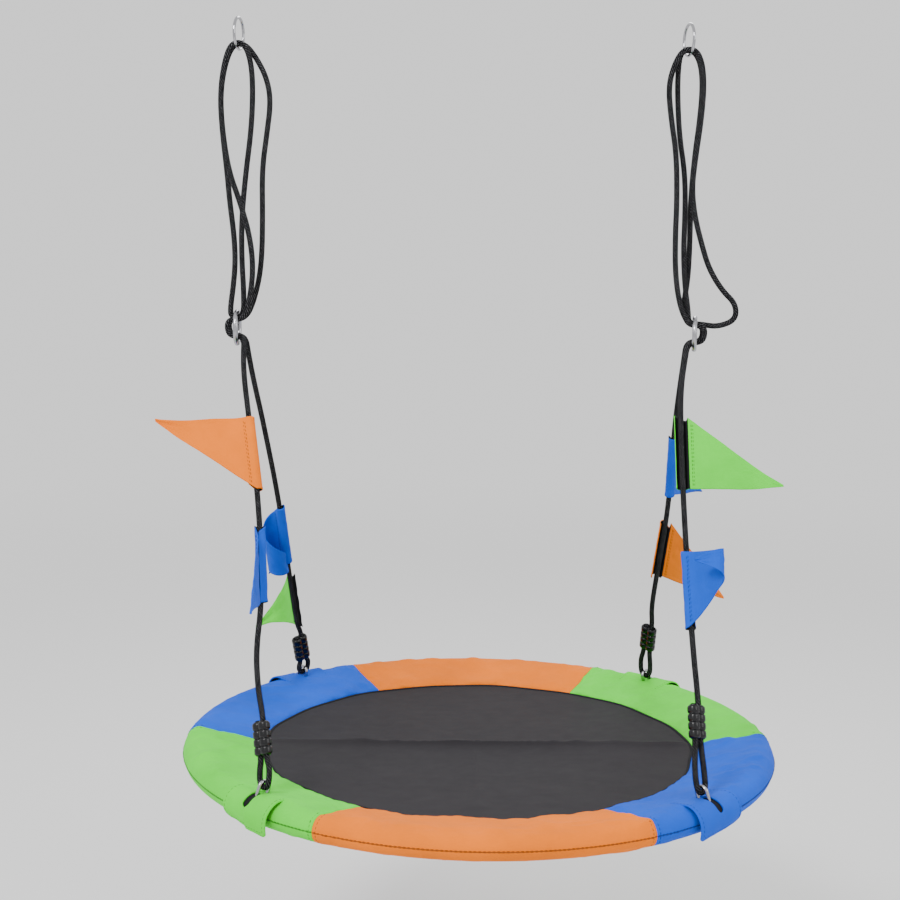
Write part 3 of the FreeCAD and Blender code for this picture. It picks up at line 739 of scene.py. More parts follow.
def even_steps(line, step):
    """The same line, resampled at even distances; gives points and their spacing."""
    lengths = [0.0]
    for a, b in zip(line, line[1:]):
        lengths.append(lengths[-1] + (b - a).length)
    count = max(2, round(lengths[-1] / step))
    out, index = [], 0
    for i in range(count + 1):
        want = lengths[-1] * i / count
        while index < len(line) - 2 and lengths[index + 1] < want:
            index += 1
        span = max(lengths[index + 1] - lengths[index], 1e-9)
        out.append(line[index].lerp(line[index + 1], (want - lengths[index]) / span))
    return out, lengths[-1]


def carried_frames(points):
    """A sideways direction at each point that turns as little as it can."""
    normals, tangents = [], []
    for i in range(len(points)):
        ahead = points[min(i + 1, len(points) - 1)]
        behind = points[max(i - 1, 0)]
        tangents.append((ahead - behind).normalized())
    normal = tangents[0].orthogonal().normalized()
    for i, tangent in enumerate(tangents):
        if i:
            normal = tangents[i - 1].rotation_difference(tangent) @ normal
            normal = (normal - tangent * normal.dot(tangent)).normalized()
        normals.append(normal)
    return tangents, normals


def braided_rope(name, control):
    """Rope along control points, with the route of its middle and its length."""
    settings = bpy.context.scene.swing_rope
    line = spline_line(name + "_line", control)
    points, length = even_steps(line, settings.step)
    tangents, normals = carried_frames(points)
    last = len(points) - 1
    radius = 0.5 * settings.diameter
    plaits = 2.0 * math.pi / settings.plait

    def place(u, v):
        i = min(int(round(u * last)), last)
        angle = 2.0 * math.pi * v
        run, turn = plaits * u * length, BRAID_PAIRS * angle
        wave = math.sin(run + turn) * math.sin(run - turn)
        side = Quaternion(tangents[i], angle) @ normals[i]
        return points[i] + side * (radius + settings.relief * (wave - BRAID_SINK))

    bm = patch(last, settings.sides, place, (length, 1.0))
    caps = [edge for edge in bm.edges if edge.is_boundary]
    bmesh.ops.holes_fill(bm, edges=caps, sides=0)
    mesh = to_mesh(outward(bm), name)
    obj = finish_object(name, mesh, material("rope"), None, "rope")
    route, _ = even_steps(line, ROUTE_STEP)
    return obj, route, length


class SWING_OT_ropes(bpy.types.Operator):
    """Braided ropes from the hang rings through the adjusters down to the seat"""
    bl_idname = "swing.ropes"
    bl_label = "Ropes"

    def execute(self, context):
        for side, rows in (("left", UPPER_LEFT), ("right", UPPER_RIGHT)):
            control = metres(rows)
            obj, route, length = braided_rope("rope_upper_" + side, control)
            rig.ride(obj, "upper_ropes")
            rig.replaces(obj, "upper_rope_" + side)
            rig.cord(obj, exit=control[0], length=length, diameter=ROPE, far_end="object",
                    stiffness="limp", lay="hanging", path=route)
        for corner, angle, _ in CORNERS:
            control = leg_points(corner, angle)
            obj, route, length = braided_rope("rope_leg_" + corner, control)
            top = control[0]
            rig.blend(obj, "upper_ropes", "seat", start=(top.x, top.y, BLEND_FROM),
                     end=(top.x, top.y, BLEND_TO))
            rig.replaces(obj, "leg_rope_" + corner)
            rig.cord(obj, exit=top, length=length, diameter=ROPE, far_end="object",
                    stiffness="limp", lay="taut", path=route)
        return {"FINISHED"}


# ------------------------------------------------------------------ sewing
# length of a stitch, gap to the next, thread radius and the share of it sunk in the cloth
STITCH, GAP, THREAD = 0.0046, 0.0022, 0.00055
THREAD_SINK = 0.25


def stitch_blank():
    """One stitch, a stretched bead of a few faces along X."""
    bm = bmesh.new()
    bmesh.ops.create_uvsphere(bm, u_segments=4, v_segments=5, radius=1.0)
    bmesh.ops.rotate(bm, verts=bm.verts, matrix=Matrix.Rotation(0.5 * math.pi, 3, "Y"))
    bmesh.ops.scale(bm, verts=bm.verts, vec=(0.5 * STITCH, THREAD, THREAD))
    return to_mesh(bm, "stitch")


def stitch_line(bm, blank, points, normals):
    """Row of short stitches along a line on a surface, partly sunk into the cloth."""
    run, middle = 0.0, 0.5 * (STITCH + GAP)
    for (a, b), normal in zip(zip(points, points[1:]), normals):
        length = (b - a).length
        while middle < run + length:
            along = (b - a) / length
            spot = a + along * (middle - run) - normal * THREAD * THREAD_SINK
            side = along.cross(normal).normalized()
            turn = Matrix((along, side, along.cross(side))).transposed().to_4x4()
            bead = blank.copy()
            bead.transform(Matrix.Translation(spot) @ turn)
            bm.from_mesh(bead)
            bpy.data.meshes.remove(bead)
            middle += STITCH + GAP
        run += length


def sewn(name, lines, thread, body):
    """One object holding every row of stitches of a piece."""
    bm, blank = bmesh.new(), stitch_blank()
    for points, normals in lines:
        stitch_line(bm, blank, points, normals)
    bpy.data.meshes.remove(blank)
    bmesh.ops.recalc_face_normals(bm, faces=bm.faces)
    return finish_object(name, to_mesh(bm, name), material(thread), body, None)


def round_wire(name, points, radius, finish, body):
    """Cord of one thickness lofted along a line."""
    tangents, normals = carried_frames(points)
    last = len(points) - 1

    def place(u, v):
        i = min(int(round(u * last)), last)
        return points[i] + Quaternion(tangents[i], 2.0 * math.pi * v) @ normals[i] * radius

    bm = patch(last, 10, place, (1.0, 0.005))
    bmesh.ops.holes_fill(bm, edges=[e for e in bm.edges if e.is_boundary], sides=0)
    return finish_object(name, to_mesh(outward(bm), name), material(finish), body, None)


# ------------------------------------------------------------------ padded rim cover
def cover_section():
    """Closed outline of the cover in (radius, height), from the band's upper inner edge out
    over the rim and back below to the lower inner edge."""
    cloth = bpy.context.scene.swing_cloth
    centre, radius, inner = cloth.frame_radius, cloth.bolster, cloth.band_inner
    rise = math.atan2(radius + 0.001, centre - inner)
    top = Vector((centre - radius * math.sin(rise), radius * math.cos(rise)))
    low = Vector((centre - radius * math.sin(0.6 * rise), -radius * math.cos(0.6 * rise)))
    outline = [Vector((inner, -0.0025)).lerp(top, i / 17.0) for i in range(17)]
    start, end = math.atan2(top.y, top.x - centre), math.atan2(low.y, low.x - centre)
    for i in range(15):
        angle = lerp(start, end, i / 14.0)
        outline.append(Vector((centre + radius * math.cos(angle), radius * math.sin(angle))))
    outline += [low.lerp(Vector((inner, -0.0075)), i / 15.0) for i in range(1, 16)]
    return outline


def outline_point(outline, share):
    """Point at a share of the closed outline, counted in its own points."""
    index = share * len(outline)
    low = int(math.floor(index + 1e-6))
    a, b = outline[low % len(outline)], outline[(low + 1) % len(outline)]
    return a.lerp(b, max(0.0, index - low))


# share of the outline where the outer seam lies, and columns of the mesh on one panel
SEAM_SHARE = 24.0 / 47.0
COLUMNS_PER_PANEL = 72
# radius that the weave is measured at
WEAVE_RADIUS = 0.485
# frames the filling takes, and least distance from the hoop to the cloth round the foam
FILL_FRAMES = 20
OUTSIDE_FOAM = 0.0204
# radii of the mat and of the middle of the band's binding
MAT_RADIUS, BINDING_RADIUS = 0.3695, 0.3690


def band_ruffle(degrees):
    """Slow waves of the band's inner edge."""
    turn = math.radians(degrees)
    return 0.0020 * math.sin(9.0 * turn + 0.6) + 0.0014 * math.sin(17.0 * turn + 2.0)


def cover_bmesh():
    """The whole ring of cloth before it is filled, with its seams pinned."""
    outline = cover_section()
    rows = len(outline)
    length = sum((outline[i] - outline[i - 1]).length for i in range(rows))
    columns = len(SECTORS) * COLUMNS_PER_PANEL

    def place(u, v):
        degrees, turn = 300.0 + 360.0 * u, 2.0 * math.pi * u
        flat = outline_point(outline, v)
        point = round_seat(degrees, flat.x, flat.y)
        inner = smooth(1.0 - (flat.x - 0.370) / 0.06)
        ruffle = band_ruffle(degrees)
        crumple = 0.0019 * wobble(point, 34.0, 2.0) + 0.0010 * wobble(point, 80.0, 5.0)
        swirl = wobble((9.0 * math.cos(turn), 9.0 * math.sin(turn), v * 5.0), 1.0)
        crumple += 0.0028 * swirl * smooth(10.0 * min(v, 1.0 - v))
        slant = (5.0 * (point.x + 0.6 * point.y), 17.0 * (point.y - 0.6 * point.x), 0.0)
        ridge = max(0.0, 1.0 - 7.0 * abs(wobble(slant, 1.0, 11.0)))
        crumple += 0.0046 * ridge * ridge * smooth(0.5 + 2.0 * wobble(point, 5.0, 4.0))
        crumple *= 0.3 + 0.7 * smooth((flat.y + 0.006) / 0.010)
        out = flat.x + ruffle * inner
        lift = (0.0022 * wobble(point, 22.0, 9.0)) * inner + crumple
        return round_seat(degrees, out, flat.y + lift)

    def pins(u, v):
        column = round(u * columns) % COLUMNS_PER_PANEL
        row = round(v * rows) % rows
        if column == 0 or row in (0, rows - 1):
            return 1.0
        if row == round(SEAM_SHARE * rows):
            return 0.9
        return 0.0

    return patch(columns, rows, place, (2.0 * math.pi * WEAVE_RADIUS, length), pins,
                 len(SECTORS))


def fill_with_air(obj):
    """Cloth simulation that swells the cover between its seams, then is applied."""
    cloth = bpy.context.scene.swing_cloth
    rest = [v.co.copy() for v in obj.data.vertices]
    modifier = obj.modifiers.new("filling", "CLOTH")
    values = modifier.settings
    values.quality = 6
    values.mass = 0.25
    values.tension_stiffness = values.compression_stiffness = 12.0
    values.shear_stiffness = 4.0
    values.bending_stiffness = 0.35
    values.use_pressure = True
    values.uniform_pressure_force = cloth.pressure
    values.shrink_min = -0.02
    values.effector_weights.gravity = 0.0
    values.vertex_group_mass = obj.vertex_groups[0].name
    modifier.point_cache.frame_start = 1
    modifier.point_cache.frame_end = FILL_FRAMES
    scene = bpy.context.scene
    for number in range(1, FILL_FRAMES + 1):
        scene.frame_set(number)
    apply_modifiers(obj)
    scene.frame_set(1)
    for vert, before in zip(obj.data.vertices, rest):
        move = vert.co - before
        if move.length > cloth.swell:
            vert.co = before + move.normalized() * cloth.swell
        clear_of_foam(vert)


def clear_of_foam(vert):
    """Keeps a point of the cover outside the foam that fills the rim."""
    cloth = bpy.context.scene.swing_cloth
    flat = (vert.co - SEAT).xy
    hoop = SEAT + (flat.normalized() * cloth.frame_radius).to_3d()
    out = vert.co - hoop
    if out.length < OUTSIDE_FOAM:
        vert.co = hoop + out.normalized() * OUTSIDE_FOAM


def split_panel(mesh, index, name):
    """One sixth of the cover as a closed piece of its own."""
    bm = bmesh.new()
    bm.from_mesh(mesh)
    layer = bm.faces.layers.int["panel"]
    bmesh.ops.delete(bm, geom=[f for f in bm.faces if f[layer] != index], context="FACES")
    crease = bm.edges.layers.float.new("crease_edge")
    open_edges = [edge for edge in bm.edges if edge.is_boundary]
    for edge in open_edges:
        edge[crease] = 1.0
    bmesh.ops.holes_fill(bm, edges=open_edges, sides=0)
    return to_mesh(outward(bm), name)


class SWING_OT_cover(bpy.types.Operator):
    """Six padded panels over the rim, with seams, and the black binding inside them"""
    bl_idname = "swing.cover"
    bl_label = "Rim cover"

    def execute(self, context):
        whole = bpy.data.objects.new("cover_blank", to_mesh(outward(cover_bmesh()), "blank"))
        context.scene.collection.objects.link(whole)
        whole.vertex_groups.new(name="sewn")
        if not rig.quick():
            fill_with_air(whole)
        for index, (name, colour, _) in enumerate(SECTORS[1:] + SECTORS[:1]):
            mesh = split_panel(whole.data, index, name + "_cloth")
            obj = finish_object(name + "_cloth", mesh, material(colour), "seat",
                                "cloth_" + colour)
            add_modifier(obj, "SUBSURF", "soften", levels=1, render_levels=1)
            apply_modifiers(obj)
            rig.replaces(obj, name)
            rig.padded(obj, fill=0.7)
        self.seams(BVHTree.FromObject(whole, context.evaluated_depsgraph_get()))
        bpy.data.objects.remove(whole)
        self.binding()
        return {"FINISHED"}

    def seams(self, surface):
        """Topstitching either side of the joint round the rim's outer side and beside each panel's ends, and a thin
        dark cord along that joint that is painted shadow of the seam's groove.
        """
        for name, colour, middle in SECTORS:
            lines = []
            for climb in (3.0, -2.0):
                lines.append(self.follow(surface, [
                    (middle + lerp(-29.8, 29.8, i / 180.0), climb) for i in range(181)]))
            for offset in (-29.3, 29.3):
                lines.append(self.follow(surface, [
                    (middle + offset, lerp(108.0, -60.0, i / 60.0)) for i in range(61)]))
            sewn(name + "_stitches", lines, "thread_" + colour, "seat")
            # thin dark cord in the dark thread colour along the joint: painted shadow of the seam's groove, not a real
            # piping
            points, _ = self.follow(surface, [
                (middle + lerp(-29.9, 29.9, i / 240.0), 0.5) for i in range(241)])
            round_wire(name + "_seam", points, 0.0007, "thread_" + colour, "seat")

    def follow(self, surface, places):
        """Points and normals where rays from the hoop's centre meet the cover."""
        cloth = bpy.context.scene.swing_cloth
        points, normals = [], []
        for degrees, climb in places:
            centre = round_seat(degrees, cloth.frame_radius, 0.0)
            tilt = math.radians(climb)
            aim = round_seat(degrees, cloth.frame_radius + 0.1 * math.cos(tilt),
                             0.1 * math.sin(tilt)) - centre
            hit, normal, _, _ = surface.ray_cast(centre + aim.normalized() * 0.012, aim)
            if hit is None:
                raise RuntimeError("a seam misses the cover at %.1f degrees" % degrees)
            points.append(hit)
            normals.append(normal if normal.dot(aim) > 0 else -normal)
        return points, normals

    def binding(self):
        """Folded strip that edges the band, following its ruffled inner edge."""
        def place(u, v):
            degrees, turn = 360.0 * u, 2.0 * math.pi * v
            ruffle = band_ruffle(degrees)
            return round_seat(degrees, BINDING_RADIUS + ruffle + 0.0030 * math.cos(turn),
                              -0.0052 + 0.0026 * math.sin(turn))

        bm = outward(patch(480, 10, place, (2.3, 0.03)))
        obj = finish_object("band_binding", to_mesh(bm, "band_binding"), material("binding"),
                            "seat", "bead_black")
        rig.replaces(obj, "edge_bead")


# ------------------------------------------------------------------ seat mat
class SWING_OT_mat(bpy.types.Operator):
    """Dark woven mat, nearly flat, with the creases of its packing"""
    bl_idname = "swing.mat"
    bl_label = "Seat mat"

    def execute(self, context):
        def place(u, v):
            degrees, reach = 360.0 * u, MAT_RADIUS * v
            flat = round_seat(degrees, reach, 0.0)
            x, y = flat.x - SEAT.x, flat.y
            sag = -0.006 * (1.0 - v * v)
            line = y - 0.012 - 0.004 * math.sin(5.0 * x)
            fold = 0.0100 * math.exp(-abs(line) / 0.007) * (0.8 + 0.4 * wobble(flat, 9.0))
            fold += 0.0022 * math.exp(-abs(x + 0.005) / 0.009) * smooth(-y / 0.05)
            fold *= 1.0 - v ** 12
            ripple = 0.0022 * wobble(flat, 6.0, 3.0) * (1.0 - v ** 6)
            reach += band_ruffle(degrees) * smooth((v - 0.85) / 0.15)
            flat = round_seat(degrees, reach, 0.0)
            return Vector((flat.x, flat.y, SEAT.z - 0.0045 + sag + fold + ripple))

        bm = patch(288, 120, place, (1.0, 1.0))
        layer = bm.loops.layers.uv["weave"]
        for face in bm.faces:
            for loop in face.loops:
                loop[layer].uv = loop.vert.co.xy
        face_away(bm, SEAT - Vector((0.0, 0.0, 1.0)))
        obj = finish_object("mat_cloth", to_mesh(bm, "mat_cloth"), material("mat"), "seat",
                            "mat_charcoal")
        add_modifier(obj, "SOLIDIFY", "thickness", thickness=0.003, offset=-1.0)
        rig.replaces(obj, "seat_mat")
        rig.sheet(obj, flat=(2.0 * MAT_RADIUS, 2.0 * MAT_RADIUS), held="stretched",
                 rests_on=["edge_bead"], area=math.pi * MAT_RADIUS ** 2)
        return {"FINISHED"}


# ------------------------------------------------------------------ slotted flaps
FLAP_LENGTH, FLAP_WIDTH = 0.124, 0.104
# length of the flap's flat inner part, radius its outer part bends by, and seat radius that
# sideways distances on it are measured at
FLAP_TOP_RUN, FLAP_WRAP, FLAP_TURN = 0.052, 0.0285, 0.480
# dark sheet a little under the flap, painted shade seen through the slot: depth under the flap, reach past the slot's
# ends and half its width
SLOT_SHADE_DEPTH, SLOT_SHADE_MARGIN, SLOT_SHADE_HALF = 0.0030, 0.006, 0.017
SLOT_FIRST, SLOT_LAST, SLOT_HALF = 0.034, 0.092, 0.0075
# height over the padded rim, and angle past which a loose edge leaves it (radians)
FLAP_ABOVE_RIM, FLAP_LEAVES = 0.0042, 0.20
# the edge that stands off the rim: +1 is the edge further round anticlockwise
PROUD_EDGE = {"front_left": 1, "front_right": -1, "back_left": 1, "back_right": -1}


def flap_profile(distance, stand, loose=0.0):
    """Point on the flap's section (radius, height) at a distance from its sewn inner edge.
    A loose flap hangs straight instead of following the rim round its outer side."""
    cloth = bpy.context.scene.swing_cloth
    centre, radius = cloth.frame_radius, cloth.bolster
    rise = math.atan2(radius + 0.001, centre - cloth.band_inner)
    root = radius + FLAP_ABOVE_RIM
    touch = Vector((centre - root * math.sin(rise), root * math.cos(rise)))
    if distance < FLAP_TOP_RUN:
        back = Vector((math.cos(rise), math.sin(rise))) * (FLAP_TOP_RUN - distance)
        return touch - back - Vector((0, FLAP_ABOVE_RIM * smooth(1.0 - distance / 0.03)))
    angle = 0.5 * math.pi + rise - (distance - FLAP_TOP_RUN) / FLAP_WRAP
    round_share = smooth((0.5 * math.pi + rise - angle) / 1.9)
    reach = root + round_share * stand
    snug = Vector((centre + reach * math.cos(angle), reach * math.sin(angle)))
    if angle >= FLAP_LEAVES:
        return snug
    out, up = math.cos(FLAP_LEAVES), math.sin(FLAP_LEAVES)
    down = Vector((up, -out)) * FLAP_WRAP * (FLAP_LEAVES - angle)
    return snug.lerp(Vector((centre + reach * out, reach * up)) + down, loose)


def flap_normal(distance):
    """Direction square to the flap's section."""
    ahead = flap_profile(distance + 0.002, 0.004) - flap_profile(distance - 0.002, 0.004)
    return Vector((-ahead.y, ahead.x)).normalized()


def rounded_box(share, half_width, half_length, corner):
    """Point on a rounded rectangle's outline, a share of the way round from a long side."""
    lengths = (2.0 * (half_length - corner), 2.0 * (half_width - corner))
    quarter = 0.5 * math.pi * corner
    total = 2.0 * sum(lengths) + 4.0 * quarter
    run = (share * total + 0.5 * lengths[0]) % total
    point, ahead = Vector((half_width, corner - half_length)), Vector((0.0, 1.0))
    for i in range(4):
        left, straight = Vector((-ahead.y, ahead.x)), lengths[i % 2]
        if run <= straight:
            return point + ahead * run
        point, run = point + ahead * straight, run - straight
        if run <= quarter:
            turn = run / corner
            return point + ahead * corner * math.sin(turn) + left * corner * (1 - math.cos(turn))
        point, run, ahead = point + (ahead + left) * corner, run - quarter, left
    return point


def slot_edge(share):
    """Rounded slot in the flap's own plane (sideways, along)."""
    half = 0.5 * (SLOT_LAST - SLOT_FIRST)
    return rounded_box(share, SLOT_HALF, half, 0.999 * SLOT_HALF) + Vector((0, SLOT_FIRST + half))


def flap_edge(share):
    """Outline of the flap in its own plane."""
    half = 0.5 * FLAP_LENGTH
    return rounded_box(share, 0.5 * FLAP_WIDTH, half, 0.006) + Vector((0, half))


def flap_point(corner, angle, side, distance, under=0.0):
    """Point of a corner's flap, or of a layer that lies a little under it."""
    edge = PROUD_EDGE[corner] * side / (0.5 * FLAP_WIDTH)
    stand = lerp(0.0015, 0.0050, 0.5 * (edge + 1.0))
    if corner == "front_left":
        stand += 0.0035 * smooth(edge / 0.12) * smooth((distance - 0.078) / 0.02)
    spot = (side, distance, angle)
    stand += 0.0016 * wobble(spot, 22.0) + 0.0006 * wobble(spot, 60.0, 2.0)
    flat = flap_profile(distance, stand, 0.5 * (edge + 1.0) * 0.55)
    lift = 0.0015 * smooth((edge - 0.5) / 0.5) * smooth(distance / 0.05)
    turn = angle + math.degrees(side / FLAP_TURN)
    out = flap_normal(distance) * (lift - under)
    return round_seat(turn, flat.x + out.x, flat.y + out.y)


class SWING_OT_flaps(bpy.types.Operator):
    """Cloth flaps over the rim with a rounded slot for each staple"""
    bl_idname = "swing.flaps"
    bl_label = "Slotted flaps"

    def execute(self, context):
        for corner, angle, colour in CORNERS:
            def place(u, v):
                flat = slot_edge(u).lerp(flap_edge(u), v)
                return flap_point(corner, angle, flat.x, flat.y)

            # points of the dark sheet under the slot, which is painted shade seen through the slot
            def slot_shade_place(u, v):
                side = lerp(-SLOT_SHADE_HALF, SLOT_SHADE_HALF, u)
                distance = lerp(SLOT_FIRST - SLOT_SHADE_MARGIN, SLOT_LAST + SLOT_SHADE_MARGIN, v)
                return flap_point(corner, angle, side, distance, SLOT_SHADE_DEPTH)

            bm = patch(160, 26, place, (0.25, 0.05), lambda u, v: float(v > 0.93 or v < 0.08))
            middle = round_seat(angle, HOOP, 0.0)
            name = "flap_" + corner
            obj = finish_object(name, to_mesh(face_away(bm, middle), name), material(colour),
                                "seat", "cloth_" + colour)
            obj.vertex_groups.new(name="hem")
            # near-black cloth on the flap's underside: painted shade under the flap where it lies over the rim
            obj.data.materials.append(material("shade_cloth"))
            add_modifier(obj, "SOLIDIFY", "thickness", thickness=0.0028, offset=-1.0,
                         material_offset=1, vertex_group="hem", thickness_vertex_group=0.6)
            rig.replaces(obj, "slot_flap_" + corner)
            slot_area = 2.0 * SLOT_HALF * (SLOT_LAST - SLOT_FIRST)
            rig.sheet(obj, flat=(FLAP_WIDTH, FLAP_LENGTH), held="stretched",
                     rests_on=["frame_tube_1"], area=FLAP_WIDTH * FLAP_LENGTH - slot_area)
            # the dark sheet under the slot: painted shade, not a real layer of cloth
            size = (2.0 * SLOT_SHADE_HALF, SLOT_LAST - SLOT_FIRST + 2.0 * SLOT_SHADE_MARGIN)
            bm = face_away(patch(20, 40, slot_shade_place, size), middle)
            slot_shade = finish_object("facing_" + corner, to_mesh(bm, "facing_" + corner),
                                   material("shade_cloth"), "seat", None)
            add_modifier(slot_shade, "SOLIDIFY", "thickness", thickness=0.0010, offset=-1.0)
            sewn("flap_stitches_" + corner, [self.hem(corner, angle)], "thread_" + colour,
                 "seat")
        return {"FINISHED"}

    def hem(self, corner, angle):
        """Line of topstitching inside the flap's edge."""
        places = [0.91 * (flap_edge(i / 240.0) - Vector((0.0, 0.5 * FLAP_LENGTH)))
                  for i in range(241)]
        points, normals = [], []
        for side, run in places:
            distance = run + 0.5 * FLAP_LENGTH
            points.append(flap_point(corner, angle, side, distance))
            out = flap_normal(distance)
            turn = angle + math.degrees(side / FLAP_TURN)
            normals.append(round_seat(turn, out.x, out.y) - SEAT)
        return points, normals


# ------------------------------------------------------------------ pennant flags
# leg and run: stretch of rope it hangs on, and place: share of the way down that stretch;
# heading (degrees) and tip (mm above the sleeve's middle): where it points;
# wrap: side its sleeve wraps by (+1 or -1), and end: where its cloth ends (degrees round the
# rope); curl: radians, between the shares of the fly first and last; ripple: size of its waves
Pennant = namedtuple("Pennant", "leg run place heading tip wrap end curl first last ripple")
PENNANTS = {
    "front_left_orange": Pennant(
        "front_left", 5, 0.47, 180.0, 77.0, 1, 395.0, 0.2, 0.1, 1.0, 2.0),
    "front_left_blue": Pennant(
        "front_left", 6, 0.62, 271.0, -118.0, -1, 390.0, 0.0, 0.1, 0.4, 1.0),
    "back_left_blue": Pennant(
        "back_left", 6, 0.48, 135.0, -85.0, 1, 390.0, 8.0, 0.03, 0.95, 1.5),
    "back_left_green": Pennant(
        "back_left", 7, 0.57, 113.0, -150.0, -1, 105.0, 0.7, 0.2, 1.0, 2.0),
    "front_right_green": Pennant(
        "front_right", 5, 0.45, 0.0, -60.0, 1, 186.0, -0.2, 0.1, 1.0, 2.0),
    "front_right_blue": Pennant(
        "front_right", 6, 0.93, 297.0, 30.0, -1, 390.0, -2.8, 0.55, 0.85, 2.0),
    "back_right_blue": Pennant(
        "back_right", 5, 0.48, 64.0, -150.0, -1, 390.0, -0.1, 0.2, 1.0, 3.0),
    "back_right_orange": Pennant(
        "back_right", 6, 0.63, 17.0, -152.0, 1, 186.0, 0.3, 0.2, 1.0, 3.0),
}
# length along the rope, length from rope to tip, and width of the sleeve's sewn lap
HOIST, FLY, LAP = 0.126, 0.153, 0.013
# radius of the cloth's middle layer round the rope
CLOSED_SLEEVE, OPEN_SLEEVE = 0.0084, 0.0100
# columns of the mesh on the panel, round the rope and along the lap
FLY_STEPS, WRAP_STEPS, LAP_STEPS = 60, 24, 5
# thickness of the cloth, and how far out the second row of sewing runs
CLOTH, SEAM_FROM_SLEEVE = 0.0016, 0.012
# length of cloth in the sleeve, and width of the whole cloth as its weave is laid out
SLEEVE_CLOTH, WEAVE_WIDTH = 0.03, FLY + 0.04


def sleeve_section(flag):
    """Section of the cloth as (out, aside, share of the fly), tip first.

    A closed sleeve leaves the rope at its side and ends in a lap under the panel. An open
    one starts at the panel's fold and ends on the far side of the rope."""
    closed = flag.end > 360.0
    radius = CLOSED_SLEEVE if closed else OPEN_SLEEVE
    start = math.radians(90.0 if closed else 12.0)
    out, side, panel = radius * math.cos(start), radius * math.sin(start), []
    step = FLY / FLY_STEPS
    for i in range(FLY_STEPS + 1):
        share = i / FLY_STEPS
        panel.append((out, side * flag.wrap, share))
        curled = min(max((share - flag.first) / (flag.last - flag.first), 0.0), 1.0)
        bend = flag.curl * curled
        lean = -0.42 * (1.0 - smooth(share / 0.22)) if closed else 0.0
        out += step * math.cos(bend + lean)
        side += step * (flag.wrap * math.sin(bend) + math.sin(lean))
    line = panel[::-1]
    stop = math.radians(270.0 if closed else flag.end)
    for i in range(1, WRAP_STEPS + 1):
        angle = lerp(start, stop, i / WRAP_STEPS)
        line.append((radius * math.cos(angle), flag.wrap * radius * math.sin(angle), 0.0))
    if closed:
        meet = min(panel[:9], key=lambda spot: abs(spot[0] - LAP))[1] - 0.0020 * flag.wrap
        for i in range(1, LAP_STEPS + 1):
            share = i / LAP_STEPS
            line.append((LAP * share, lerp(-flag.wrap * radius, meet, smooth(share)), 0.0))
    return line


def flag_bmesh(flag, seed):
    """Pennant cloth, the number of columns across it, and its two rows of sewing."""
    points = metres(LEGS[flag.leg][1])
    top, bottom = points[flag.run], points[flag.run + 1]
    axis = (top - bottom).normalized()
    heading = math.radians(flag.heading)
    fly = Vector((math.cos(heading), math.sin(heading), 0))
    fly = (fly - axis * fly.dot(axis)).normalized()
    side = axis.cross(fly)
    centre = top.lerp(bottom, flag.place)
    tip = 0.001 * flag.tip
    section = sleeve_section(flag)
    columns = len(section) - 1

    def section_at(u):
        return section[min(int(round(u * columns)), columns)]

    def place(u, v):
        out, aside, share = section_at(u)
        straight = share if share > 0.0 else max(0.0, out) / FLY
        free = smooth((share - 0.12) / 0.7)
        upper = lerp(0.5 * HOIST, tip + 0.0015, straight)
        lower = lerp(-0.5 * HOIST, tip - 0.0015, straight)
        height = lerp(lower, upper, v)
        spot = (share * 0.16, v * 0.12, seed)
        wave = math.sin(share * 6.5 + (v - 0.5) * 2.2 + seed)
        aside += 0.001 * flag.ripple * free * wave
        aside += 0.0030 * free * wobble(spot, 22.0) + 0.0008 * wobble(spot, 60.0, 3.0)
        height += 0.0020 * free * math.sin(share * 6.0 + seed * 2.0)
        return centre + fly * out + side * aside + axis * height

    def hem(u, v):
        share = section_at(u)[2]
        edge = min(v, 1.0 - v) < 0.045 / max(1.0 - share, 0.08)
        return 1.0 if edge or u < 0.02 or 0.05 < share < 0.075 else 0.0

    seams = []
    second = FLY_STEPS + 1 - round((FLY_STEPS + 1) * SEAM_FROM_SLEEVE / FLY)
    for column in (FLY_STEPS - 3, second):
        across = place((column - 1) / columns, 0.5) - place((column + 1) / columns, 0.5)
        line = [place(column / columns, i / 60.0) for i in range(2, 59)]
        for face in (-1.0, 1.0):
            normal = across.cross(axis).normalized() * face
            seams.append(([spot + normal * 0.5 * CLOTH for spot in line], [normal] * len(line)))
    return patch(columns, 40, place, (WEAVE_WIDTH, HOIST), hem), columns, seams


